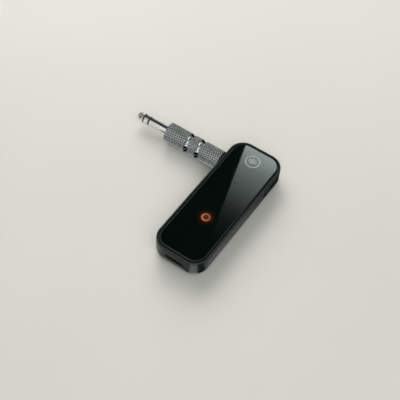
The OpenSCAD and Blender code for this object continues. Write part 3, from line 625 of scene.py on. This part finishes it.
def shell_cutters():
    """Tools for the finger recess, the knob's slot and window, the USB slot and the jack's hole."""
    past = 1 * MM
    tools = [recess_cutter(), *switch_cutters()]
    usb_slot = stadium_cutter("cut_slot", (0, SHELL_LO.y, USB_Z), USB_W, USB_H, USB_SLOT_DEPTH)
    pocket = stadium_cutter(
        "cut_pocket", (0, USB_LO.y + WALL, USB_Z), POCKET_W, POCKET_H, 2 * WALL + 0.1 * MM
    )
    bush_r = (BUSH_HI.y - BUSH_LO.y) / 2 + 0.05 * MM
    through = [(-past, 0), (-past, bush_r), (WALL + past, bush_r), (WALL + past, 0)]
    hole = lathe("cut_hole", through, 64, centre=(SHELL_LO.x, PLUG_Y, PLUG_Z), axis="X")
    return tools + [usb_slot, pocket, hole]


def switch_cutters():
    """Tools for the slot that the knob slides in, and the window for the switch's stem behind it."""
    gap = 0.15 * MM
    floor_x = SHELL_HI.x - RECESS_DEPTH
    knob_run = KNOB_HI.y - KNOB_LO.y + SWITCH_TRAVEL
    half_slot = Vector((0, knob_run / 2 + gap, (KNOB_HI.z - KNOB_LO.z) / 2 + gap))
    slot_middle = Vector((floor_x, RECESS_Y, (KNOB_LO.z + KNOB_HI.z) / 2))
    knob_slot = box_object(
        "cut_knob_slot", slot_middle - half_slot, slot_middle + half_slot + Vector((WALL, 0, 0))
    )
    stem_half_l = STEM_L / 2 + SWITCH_TRAVEL / 2 + gap
    window = box_object(
        "cut_window",
        (STEM_HI.x - 1.5 * MM, RECESS_Y - stem_half_l, STEM_LO.z - gap),
        (floor_x + 0.5 * MM, RECESS_Y + stem_half_l, STEM_HI.z + gap),
    )
    return [knob_slot, window]


def recess_cutter():
    """A wedge whose floor leans in from the foot of the recess to its depth under the top edge."""
    lean = math.atan2(RECESS_DEPTH, RECESS_TOP - RECESS_FOOT)
    face = math.hypot(RECESS_DEPTH, RECESS_TOP - RECESS_FOOT)
    half = RECESS_L / 2
    outline = [(-half, 0), (half, 0), (half - RECESS_SLOPE, face), (RECESS_SLOPE - half, face)]
    wedge_tool = prism("cut_recess", outline, WALL)
    turn = Matrix.Rotation(-lean, 4, "Y")
    wedge_tool.data.transform(Matrix.Translation((SHELL_HI.x, RECESS_Y, RECESS_FOOT)) @ turn)
    return wedge_tool


def make_frame_ring():
    """The upper frame: a ring that laps into the shell, with a ledge for the panel inside its lip."""
    foot_r = 0.05 * MM
    neck = LAP_T + 0.05 * MM
    inner = 1.95 * MM
    edge = 0.18 * MM
    ledge_z = PANEL_LO.z - 0.2 * MM
    visible_z = SEAM_Z + GROOVE_H
    lip_edge = 0.07 * MM
    profile = [(neck, LAP_Z), (neck, visible_z)]
    profile += arc((SETBACK + foot_r, visible_z + foot_r), foot_r, -90, -180, 2)
    profile += arc((SETBACK + edge, FRAME_HI.z - edge), edge, 180, 90, 6)
    profile += arc((LIP_W - lip_edge, FRAME_HI.z - lip_edge), lip_edge, 90, 0, 4)
    profile += [(LIP_W, ledge_z), (inner, ledge_z), (inner, LAP_Z)]
    bm = bmesh.new()
    sweep_profile(bm, OUTLINE, profile, closed=True)
    ring = new_object("casing_frame", bm)
    gap = 0.2 * MM
    room = box_object(
        "cut_room",
        (HOUSING_LO.x - gap, HOUSING_LO.y - gap, LAP_Z - 1 * MM),
        (HOUSING_LO.x + 3 * MM, HOUSING_HI.y + gap, HOUSING_HI.z + gap),
    )
    cut(ring, [room])
    shade(ring, 35.0)
    finish_piece(ring, "frame", "casing", ["upper_frame"])


def make_panel():
    """The gloss panel with its chamfer, the button's and microphone's holes and the mark's pocket."""
    rise = PANEL_TOP - FRAME_HI.z
    side = PANEL_INSET + 0.1 * MM
    chamfer = 0.33 * MM
    soft = 0.04 * MM
    profile = [(side + 0.05 * MM, PANEL_LO.z), (side, PANEL_LO.z + 0.05 * MM)]
    profile += [(side, PANEL_TOP - rise - soft), (side + soft, PANEL_TOP - rise)]
    profile += [(side + chamfer, PANEL_TOP)]
    bm = bmesh.new()
    rings = sweep_profile(bm, OUTLINE, profile)
    bm.faces.new(rings[0])
    bm.faces.new(list(reversed(rings[-1])))
    panel = new_object("gloss_front", bm)
    mic_at = ((MIC_LO.x + MIC_HI.x) / 2, (MIC_LO.y + MIC_HI.y) / 2, PANEL_TOP)
    holes = [
        hole_cutter("cut_button", BUTTON, RING_R + 0.08 * MM, 96),
        hole_cutter("cut_mic", mic_at, MIC_HOLE_R, 32),
        raised_copy("cut_emblem", "panel_emblem", 0.03 * MM),
    ]
    cut(panel, holes)
    shade(panel, 18.0)
    finish_piece(panel, "panel", "casing", ["front_panel"])
    panel.data.materials.append(MATERIALS["panel_edge"])
    for face in panel.data.polygons:
        face.material_index = int(0.5 < face.normal.z < 0.99)


def hole_cutter(name, centre, radius, turns):
    """A rod to cut a round hole through the panel."""
    low, high = -2 * MM, 1 * MM
    return lathe(name, [(low, 0), (low, radius), (high, radius), (high, 0)], turns, centre=centre)


# ---------------------------------------------------------------- button

def make_button():
    """The button's dished centre on its flange and stem, and the ring around it."""
    top = PANEL_TOP
    cap_r = 1.0 * MM
    stem_r = 0.6 * MM
    flange_r = (CAP_HI.x - CAP_LO.x) / 2
    flange_top = RING_LO.z
    flange_t = 0.3 * MM
    dish = 0.05 * MM
    edge = 0.06 * MM
    profile = [(CAP_LO.z, 0), (CAP_LO.z, stem_r)]
    profile += [(flange_top - flange_t, stem_r), (flange_top - flange_t, flange_r)]
    profile += [(flange_top, flange_r), (flange_top, cap_r), (top - edge, cap_r)]
    profile += [(top - edge * 0.3, cap_r - edge * 0.3), (top, cap_r - edge)]
    profile += [(top - dish * (1 - k * k), cap_r * 0.85 * k) for k in (1.0, 0.75, 0.5, 0.25)]
    profile += [(top - dish, 0)]
    cap = lathe("button_centre", profile, 96, centre=(BUTTON.x, BUTTON.y, 0))
    shade(cap, 30.0)
    finish_piece(cap, "cap", "power_button", ["button_cap"])
    make_ring(cap_r + 0.01 * MM, flange_top)


def make_ring(inner, flange_top):
    """The lit ring around the button's centre, with rounded top edges."""
    top = PANEL_TOP
    edge = 0.08 * MM
    profile = [(flange_top, inner), (flange_top, RING_R), (top - edge, RING_R)]
    profile += [(top - edge * 0.3, RING_R - edge * 0.3), (top, RING_R - edge)]
    profile += [(top, inner + edge), (top - edge * 0.3, inner + edge * 0.3), (top - edge, inner)]
    ring = lathe("button_ring", profile, 96, closed=True, centre=(BUTTON.x, BUTTON.y, 0))
    shade(ring, 30.0)
    finish_piece(ring, "ring", "power_button", ["light_ring"])


# ---------------------------------------------------------------- plug adapter

# the grooves' radius, their steep sides and hollow floor, and the barrel's mouth and bore
GROOVE_R = 3.42 * MM
GROOVE_SIDE = 0.04 * MM
GROOVE_HOLLOW = 0.1 * MM
MOUTH_R = 1.85 * MM
BORE_R = 2.7 * MM


def knurl_depth(along, angle, count):
    """Depth below the diamonds' tops, from two crossed sets of V-grooves."""
    turn = count * angle
    run = 2 * math.pi * along / KNURL_PITCH
    first = abs(math.sin((turn + run) / 2))
    second = abs(math.sin((turn - run) / 2))
    return KNURL_DEPTH * (1 - min(1.0, KNURL_FLAT * first) * min(1.0, KNURL_FLAT * second))


def make_barrel():
    """The knurled barrel: three knurled stretches, two polished grooves, and plain end lands."""
    grooves = [SHELL_LO.x - g - BARREL_LO.x for g in reversed(GROOVES)]
    bm = knurled_mesh(barrel_rows(BARREL_HI.x - BARREL_LO.x, grooves))
    bmesh.ops.translate(bm, vec=(BARREL_LO.x, PLUG_Y, PLUG_Z), verts=bm.verts)
    for face in bm.faces:
        at = face.calc_center_median()
        around = math.hypot(at.y - PLUG_Y, at.z - PLUG_Z)
        along = at.x - BARREL_LO.x
        in_groove = any(abs(along - g) < GROOVE_W / 2 - GROOVE_SIDE for g in grooves)
        face.material_index = int(in_groove and around > BORE_R + 0.1 * MM)
    barrel = new_object("knurled_barrel", bm, 60.0)
    finish_piece(barrel, "barrel", "adapter", ["adapter_sleeve"])
    barrel.data.materials.append(MATERIALS["groove"])


def barrel_rows(length, grooves):
    """The barrel's closed profile, as (place along it, radius, whether it is knurled)."""
    step = KNURL_PITCH / KNURL_STEPS
    land, lip = 0.35 * MM, 0.6 * MM
    edge, land_r = 0.22 * MM, BARREL_R - 0.06 * MM
    stops = [land] + [g + side * GROOVE_W / 2 for g in grooves for side in (-1, 1)] + [length - land]
    stretches = list(zip(stops[::2], stops[1::2]))
    rows = [(0.0, MOUTH_R, False)]
    rows += [(a, r, False) for a, r in arc((edge, land_r - edge), edge, 180, 90, 4)]
    for index, (start, end) in enumerate(stretches):
        steps = max(2, round((end - start) / step))
        rows += [(start + (end - start) * k / steps, BARREL_R, True) for k in range(steps + 1)]
        if index < len(grooves):
            rows += [(a, r, False) for a, r in groove_profile(end, stretches[index + 1][0])]
    rows += [(length - a, r, False) for a, r in arc((edge, land_r - edge), edge, 90, 180, 4)]
    rows += [(length, MOUTH_R, False), (length - lip, MOUTH_R, False)]
    rows += [(length - lip, BORE_R, False), (lip, BORE_R, False), (lip, MOUTH_R, False)]
    return rows


def knurled_mesh(rows):
    """A tube from a closed profile, with the diamonds cut into its knurled rows."""
    count = round(2 * math.pi * BARREL_R / KNURL_PITCH)
    turns = count * KNURL_STEPS
    bm = bmesh.new()
    rings = []
    for along, radius, knurled in rows:
        ring = []
        for i in range(turns):
            angle = 2 * math.pi * i / turns
            r = radius - (knurl_depth(along, angle, count) if knurled else 0)
            ring.append(bm.verts.new((along, r * math.cos(angle), r * math.sin(angle))))
        rings.append(ring)
    for low, high in zip(rings, rings[1:] + rings[:1]):
        for i in range(turns):
            j = (i + 1) % turns
            bm.faces.new((low[i], high[i], high[j], low[j]))
    return bm


def groove_profile(start, end):
    """A polished groove: a shallow hollow between two steep sides."""
    steps = 14
    low, high = start + GROOVE_SIDE, end - GROOVE_SIDE
    return [
        (low + (high - low) * k / steps, GROOVE_R - GROOVE_HOLLOW * math.sin(math.pi * k / steps))
        for k in range(steps + 1)
    ]


# the plug: lengths run from its shoulder, and its root is the part inside the barrel
PLUG_R = 1.75 * MM
ROOT_R = 1.5 * MM
SLEEVE_L = 8.2 * MM
BAND_L = 0.6 * MM
RING_L = 1.8 * MM
PLUG_L = 14.0 * MM
ROOT_L = 5.0 * MM
RING_AT = SLEEVE_L + BAND_L
TIP_AT = RING_AT + RING_L + BAND_L
# the tip's rod, the ring's tube around it and the sleeve's bore around both
ROD_R = 0.45 * MM
RING_BORE_R, RING_TUBE_R = 0.7 * MM, 0.95 * MM
SLEEVE_BORE_R = 1.2 * MM


def sleeve_profile():
    """The sleeve: a narrower root inside the barrel, a shoulder and the long contact."""
    back = 1.6 * MM - ROOT_L
    shoulder, edge = 0.05 * MM, 0.04 * MM
    return [
        (back, SLEEVE_BORE_R), (back, ROOT_R), (0, ROOT_R), (0, PLUG_R - shoulder),
        (shoulder, PLUG_R), (SLEEVE_L - edge, PLUG_R), (SLEEVE_L, PLUG_R - edge),
        (SLEEVE_L, SLEEVE_BORE_R),
    ]


def banded_tube(root, inner, outer, start, end):
    """A thin tube inside the plug that ends in a band as thick as the plug, its edges broken."""
    edge = 0.04 * MM
    return [
        (root - ROOT_L, inner), (root - ROOT_L, outer), (start, outer),
        (start, PLUG_R - edge), (start + edge, PLUG_R),
        (end - edge, PLUG_R), (end, PLUG_R - edge), (end, inner),
    ]


def tip_profile():
    """The tip: its rod, a waist behind the head, and a tapering nose."""
    foot_r, waist_r, waist_out = 1.36 * MM, 0.62 * MM, 1.72 * MM
    blunt_r, swell = 0.5 * MM, 1.1 * MM
    nose_at = TIP_AT + 1.4 * MM
    nose = PLUG_L - nose_at
    profile = [(-ROOT_L, 0), (-ROOT_L, ROD_R), (TIP_AT, ROD_R), (TIP_AT, foot_r)]
    waist = arc((TIP_AT + waist_r, waist_out), waist_r, 215, 315, 8)
    profile += [p for p in waist if p[1] < foot_r]
    profile += [
        (nose_at + nose * math.sin(a), blunt_r + swell * math.cos(a) ** 1.1)
        for a in (math.pi / 2 * k / 9 for k in range(9))
    ]
    return profile + [(PLUG_L, 0.35 * MM), (PLUG_L, 0)]


def make_plug(prefix, shoulder_x, axis):
    """One 3.5 mm plug with its sleeve, ring, insulators and tip."""
    place = dict(centre=(shoulder_x, PLUG_Y, PLUG_Z), axis=axis)
    ring = banded_tube(0.8 * MM, RING_BORE_R, RING_TUBE_R, RING_AT, RING_AT + RING_L)
    for part, profile in (("sleeve", sleeve_profile()), ("ring", ring)):
        obj = lathe(f"{prefix}_{part}", profile, 72, closed=True, **place)
        shade(obj, 30.0)
        finish_piece(obj, "plating", "adapter", [f"{prefix}_{part}"])
    make_insulators(prefix, place)
    obj = lathe(f"{prefix}_tip", tip_profile(), 72, **place)
    shade(obj, 40.0)
    finish_piece(obj, "plating", "adapter", [f"{prefix}_tip"])


def make_insulators(prefix, place):
    """The two dark bands between a plug's contacts, with the tubes behind them."""
    gap = 0.01 * MM
    profiles = [
        banded_tube(0.4 * MM, ROD_R + gap, RING_BORE_R - gap, RING_AT + RING_L + gap, TIP_AT - gap),
        banded_tube(1.2 * MM, RING_TUBE_R + gap, SLEEVE_BORE_R - gap, SLEEVE_L + gap, RING_AT - gap),
    ]
    bm = bmesh.new()
    for index, profile in enumerate(profiles):
        obj = lathe(f"{prefix}_band_{index}", profile, 72, closed=True, **place)
        bm.from_mesh(obj.data)
        bpy.data.objects.remove(obj)
    joined = new_object(f"{prefix}_insulators", bm)
    shade(joined, 30.0)
    finish_piece(joined, "black", "adapter", [f"{prefix}_insulators"])


def make_washer():
    """The insulating washer between the adapter's barrel and the casing, its rim rounded off."""
    radius = (WASHER_HI.y - WASHER_LO.y) / 2
    thick = WASHER_HI.x - WASHER_LO.x
    edge = 0.08 * MM
    hole_r = PLUG_R + 0.05 * MM
    profile = [(0, hole_r), (0, radius - edge), (edge, radius)]
    profile += [(thick - edge, radius), (thick, radius - edge), (thick, hole_r)]
    place = dict(closed=True, centre=(WASHER_LO.x, PLUG_Y, PLUG_Z), axis="X")
    washer = lathe("insulating_washer", profile, 72, **place)
    shade(washer, 30.0)
    finish_piece(washer, "black", "plug_washer", ["plug_washer"])


# ---------------------------------------------------------------- mode switch knob

def make_knob():
    """The knob: a block with five rounded grip ribs."""
    base_x = KNOB_LO.x
    top_x = KNOB_HI.x
    valley = top_x - 0.2 * MM
    length = KNOB_HI.y - KNOB_LO.y
    ribs = 5
    steps = 8
    profile = [(base_x, KNOB_LO.y)]
    for k in range(ribs * steps + 1):
        t = k / (ribs * steps)
        wave = 0.5 - 0.5 * math.cos(2 * math.pi * ribs * t)
        profile.append((valley + (top_x - valley) * wave, KNOB_LO.y + length * t))
    profile.append((base_x, KNOB_HI.y))
    bm = bmesh.new()
    low = [bm.verts.new((x, y, KNOB_LO.z)) for x, y in profile]
    high = [bm.verts.new((x, y, KNOB_HI.z)) for x, y in profile]
    for i in range(len(profile)):
        j = (i + 1) % len(profile)
        bm.faces.new((low[i], low[j], high[j], high[i]))
    bm.faces.new(low)
    bm.faces.new(list(reversed(high)))
    knob = new_object("mode_knob", bm)
    soften_edges(knob, 0.06 * MM, 60.0)
    shade(knob, 40.0)
    finish_piece(knob, "knob", "mode_switch", ["switch_knob"])


# ---------------------------------------------------------------- CAD nodes that stay

CAD_MATERIALS = {
    "foam": ["panel_adhesive", "mic_gasket", "battery_pad"],
    "print": ["panel_emblem"],
    "black": [
        "tact_plunger", "tact_base", "usb_tongue", "jack_housing", "switch_base", "switch_actuator",
    ],
    "steel": ["tact_dome", "board_screws", "crystal", "usb_shell", "jack_bush", "switch_cover"],
    "led": ["status_leds"],
    "white": ["light_shroud"],
    "mask": ["circuit_board"],
    "epoxy": ["bluetooth_chip", "audio_chip", "charge_chip"],
    "ceramic": ["chip_antenna", "board_passives"],
    "ferrite": ["power_inductor"],
    "gold": [
        "microphone", "usb_contacts", "jack_tip_spring", "jack_ring_spring", "jack_sleeve_spring",
        "switch_terminals", "switch_contact",
    ],
    "foil": ["battery_cell"],
    "film": ["battery_guard_board", "insulating_sheet"],
    "red_wire": ["lead_positive"],
    "black_wire": ["lead_negative"],
    "natural": ["adapter_bushes"],
    "copper": ["link_wires"],
}


def dress_cad_nodes():
    """Gives every CAD node that stays its material."""
    for material, names in CAD_MATERIALS.items():
        for name in names:
            data = NODES[name].data
            data.materials.clear()
            data.materials.append(MATERIALS[material])


# ---------------------------------------------------------------- camera and stage

# fitted to the outlines in the photograph
CAMERA_AZIMUTH = math.radians(30.6)
CAMERA_ELEVATION = math.radians(54.0)
CAMERA_ROLL = math.radians(4.61)
CAMERA_DISTANCE = 0.343
LENS = 87.6
SENSOR = 36.0
AIM = Vector((-6.51 * MM, -2.94 * MM, PANEL_TOP - 1.98 * MM))


def make_camera():
    """The camera, placed and rolled as the photo's was."""
    flat = math.cos(CAMERA_ELEVATION)
    forward = Vector((
        -math.sin(CAMERA_AZIMUTH) * flat, math.cos(CAMERA_AZIMUTH) * flat, -math.sin(CAMERA_ELEVATION)
    ))
    right = Vector((math.cos(CAMERA_AZIMUTH), math.sin(CAMERA_AZIMUTH), 0))
    up = right.cross(forward)
    tilted_right = right * math.cos(CAMERA_ROLL) + up * math.sin(CAMERA_ROLL)
    tilted_up = up * math.cos(CAMERA_ROLL) - right * math.sin(CAMERA_ROLL)
    data = bpy.data.cameras.new("camera")
    data.lens = LENS
    data.sensor_width = SENSOR
    data.clip_start = 0.01
    camera = bpy.data.objects.new("camera", data)
    bpy.context.scene.collection.objects.link(camera)
    basis = Matrix((tilted_right, tilted_up, -forward)).transposed().to_4x4()
    camera.matrix_world = Matrix.Translation(AIM - forward * CAMERA_DISTANCE) @ basis
    bpy.context.scene.camera = camera
    return camera


def flat_sheet(name, corners, material):
    """One flat face of the stage."""
    bm = bmesh.new()
    bm.faces.new([bm.verts.new(c) for c in corners])
    mesh = bpy.data.meshes.new(name)
    bm.to_mesh(mesh)
    bm.free()
    obj = bpy.data.objects.new(name, mesh)
    bpy.context.scene.collection.objects.link(obj)
    obj.data.materials.append(material)
    return obj


def floor_material():
    """Plain pale paper with a barely uneven tone."""
    m = Nodes("floor")
    tone = m.remap(m.noise(8.0, 3.0), 0.0, 1.0)
    pale = m.mix_colors(tone, (0.555, 0.545, 0.508), (0.580, 0.568, 0.528))
    m.link(pale, m.shader.inputs["Base Color"])
    m.set(Roughness=0.9, Specular_IOR_Level=0.1)
    return m.mat


def area_light(name, at, size, energy):
    """A soft light aimed at the origin."""
    data = bpy.data.lights.new(name, "AREA")
    data.shape = "RECTANGLE"
    data.size, data.size_y = size
    data.energy = energy
    light = bpy.data.objects.new(name, data)
    light.location = at
    light.visible_glossy = False
    light.rotation_euler = (Vector() - Vector(at)).to_track_quat("-Z", "Y").to_euler()
    bpy.context.scene.collection.objects.link(light)


def make_world(strength):
    """Even, faintly green light from all around."""
    world = bpy.data.worlds.new("world")
    world.use_nodes = True
    back = world.node_tree.nodes["Background"]
    back.inputs["Color"].default_value = (0.93, 1.0, 0.965, 1)
    back.inputs["Strength"].default_value = strength
    bpy.context.scene.world = world


def reflection_only(obj):
    """A card that only reflections see."""
    obj.visible_camera = False
    obj.visible_diffuse = False
    obj.visible_transmission = False
    obj.visible_shadow = False
    obj.visible_volume_scatter = False


# brightness of the floor that the right wall mirrors, along Y in millimetres
SIDE_STOPS = [
    (-22, 0.42), (-15, 0.40), (-5, 0.35), (5, 0.29), (13, 0.19), (17, 0.17), (26, 0.12), (38, 0.2)
]

CARD_Z = 0.5
# how far the cards on the floor lie above it
CARD_LIFT = 0.05 * MM
# the reflection's straight edge on the panel, and the stops of its fade, all as places on the panel
EDGE_POINTS = [(-6.14 * MM, 26.08 * MM), (2.96 * MM, -4.66 * MM)]
FADE_FROM, FADE_TO = -22.0 * MM, 30.0 * MM
FADE_STOPS = [
    (-22, 0.0), (-16, 0.0), (-9, 0.07), (-5, 0.17), (0, 0.43),
    (6, 1.12), (12, 2.05), (18, 3.1), (26, 6.4), (30, 8.2),
]


def fading_card(name, corners, stops, tint=(1, 1, 1)):
    """A reflection-only card whose brightness follows stops of (place along Y, level)."""
    m = Nodes(name)
    emit = m.add("ShaderNodeEmission")
    ramp = m.add("ShaderNodeValToRGB")
    scale = m.add("ShaderNodeMapRange")
    low_y, high_y = stops[0][0], stops[-1][0]
    scale.inputs["From Min"].default_value = low_y
    scale.inputs["From Max"].default_value = high_y
    split = m.add("ShaderNodeSeparateXYZ")
    m.link(m.coords(), split.inputs[0])
    m.link(split.outputs["Y"], scale.inputs["Value"])
    m.link(scale.outputs["Result"], ramp.inputs["Fac"])
    peak = max(level for _, level in stops)
    points = ramp.color_ramp.elements
    while len(points) < len(stops):
        points.new(0.5)
    for point, (place, level) in zip(points, stops):
        point.position = (place - low_y) / (high_y - low_y)
        point.color = (*(level / peak * c for c in tint), 1)
    m.link(ramp.outputs["Color"], emit.inputs["Color"])
    emit.inputs["Strength"].default_value = peak
    m.link(emit.outputs[0], m.tree.nodes["Material Output"].inputs["Surface"])
    reflection_only(flat_sheet(name, corners, m.mat))


def level_corners(x0, x1, y0, y1, z):
    """Corners of a level rectangle, anticlockwise."""
    return [Vector(corner) for corner in ((x0, y0, z), (x1, y0, z), (x1, y1, z), (x0, y1, z))]


def card_point(eye, x, y):
    """Where a sight line that mirrors on the panel at (x, y) meets the card's plane."""
    mirrored = Vector((eye.x, eye.y, 2 * PANEL_TOP - eye.z))
    on_panel = Vector((x, y, PANEL_TOP))
    way = on_panel - mirrored
    return mirrored + way * ((CARD_Z - mirrored.z) / way.z)


def edge_x(y):
    """Where the reflection's straight edge is on the panel at y."""
    (x0, y0), (x1, y1) = EDGE_POINTS
    slope = (x1 - x0) / (y1 - y0)
    return x0 + slope * (y - y0)


def make_cards(camera):
    """A fading card that the panel mirrors on its right side, and a dark one behind it."""
    eye = camera.matrix_world.translation
    right = 14 * MM
    corners = [
        card_point(eye, edge_x(FADE_FROM), FADE_FROM), card_point(eye, right, FADE_FROM),
        card_point(eye, right, FADE_TO), card_point(eye, edge_x(FADE_TO), FADE_TO),
    ]
    stops = [(card_point(eye, 5 * MM, place * MM).y, level) for place, level in FADE_STOPS]
    fading_card("mirror_card", corners, stops, (0.88, 1.0, 0.975))
    plain_card("dark_card", level_corners(-0.36, -0.12, 0.05, 0.68, CARD_Z + 0.01), 0.0)


def plain_card(name, corners, strength):
    """A reflection-only card of one even brightness; strength 0 is a black card."""
    m = Nodes(name)
    emit = m.add("ShaderNodeEmission", Strength=strength)
    m.link(emit.outputs[0], m.tree.nodes["Material Output"].inputs["Surface"])
    reflection_only(flat_sheet(name, corners, m.mat))


def wedge(centre, start_deg, end_deg, inner, outer, z):
    """Corners of a ring sector on the floor."""
    out = []
    for radius, degrees in ((inner, start_deg), (outer, start_deg), (outer, end_deg), (inner, end_deg)):
        a = math.radians(degrees)
        out.append(centre + Vector((radius * math.cos(a), radius * math.sin(a), z)))
    return out


def make_highlight_cards():
    """Cards for the reflections in the casing's corner and right side, the grooves and the knurl."""
    corner = Vector((BODY_W / 2 - CORNER_R, CORNER_R - BODY_L / 2, 0))
    plain_card("corner_light", wedge(corner, -77, -43, 6 * MM, 18 * MM, CARD_LIFT), 1.8)
    plain_card("corner_shade", wedge(corner, -38, -8, 6 * MM, 18 * MM, CARD_LIFT), 0.0)
    middle = Vector((-22 * MM, PLUG_Y, PLUG_Z))
    overhead = [middle + point for point in level_corners(-0.09, 0.05, 0.02, 0.50, 0.645)]
    plain_card("groove_light", overhead, 1.1)
    ways = ((-0.40, -0.38, 0.87), (-0.20, -0.38, 0.87), (-0.20, -0.86, 0.40), (-0.40, -0.86, 0.40))
    plain_card("barrel_light", [middle + Vector(way) * 0.6 for way in ways], 1.3)
    shade_at = ((-40, 10.5), (-11, 10.5), (-62, -150), (-100, -150))
    plain_card("barrel_shade", [Vector((x * MM, y * MM, CARD_LIFT)) for x, y in shade_at], 0.0)
    strip = level_corners(-40 * MM, -11 * MM, 10.5 * MM, 15 * MM, CARD_LIFT)
    plain_card("barrel_floor", strip, 0.8)
    front = middle + Vector((-0.38, -0.93, 0)) * 0.5
    corners = [front + Vector((sx * 0.12, 0, z)) for sx, z in ((-1, 0), (1, 0), (1, 0.11), (-1, 0.11))]
    plain_card("front_light", corners, 1.2)
    side_stops = [(y * MM, level) for y, level in SIDE_STOPS]
    low_y, high_y = side_stops[0][0], side_stops[-1][0]
    corners = level_corners(BODY_W / 2 - BASE_R, 22 * MM, low_y, high_y, 0.04 * MM)
    fading_card("side_card", corners, side_stops)


def make_stage(camera):
    """The floor, the world, three soft lights and the cards."""
    reach = 3.0
    flat_sheet("floor", level_corners(-reach, reach, -reach, reach, 0), floor_material())
    make_world(0.28)
    area_light("key", (-0.45, 0.25, 0.45), (0.5, 0.5), 2.45)
    area_light("back", (-0.30, 0.45, 0.30), (0.4, 0.4), 2.65)
    area_light("fill", (0.35, -0.35, 0.6), (0.7, 0.7), 3.6)
    make_cards(camera)
    make_highlight_cards()
    bpy.context.scene.view_settings.view_transform = "Standard"


# ---------------------------------------------------------------- assembly

camera = make_camera()
make_shell()
make_frame_ring()
make_panel()
make_button()
make_barrel()
make_plug("free_plug", BARREL_LO.x, "-X")
make_plug("jack_plug", BARREL_HI.x, "X")
make_washer()
make_knob()
dress_cad_nodes()
make_stage(camera)
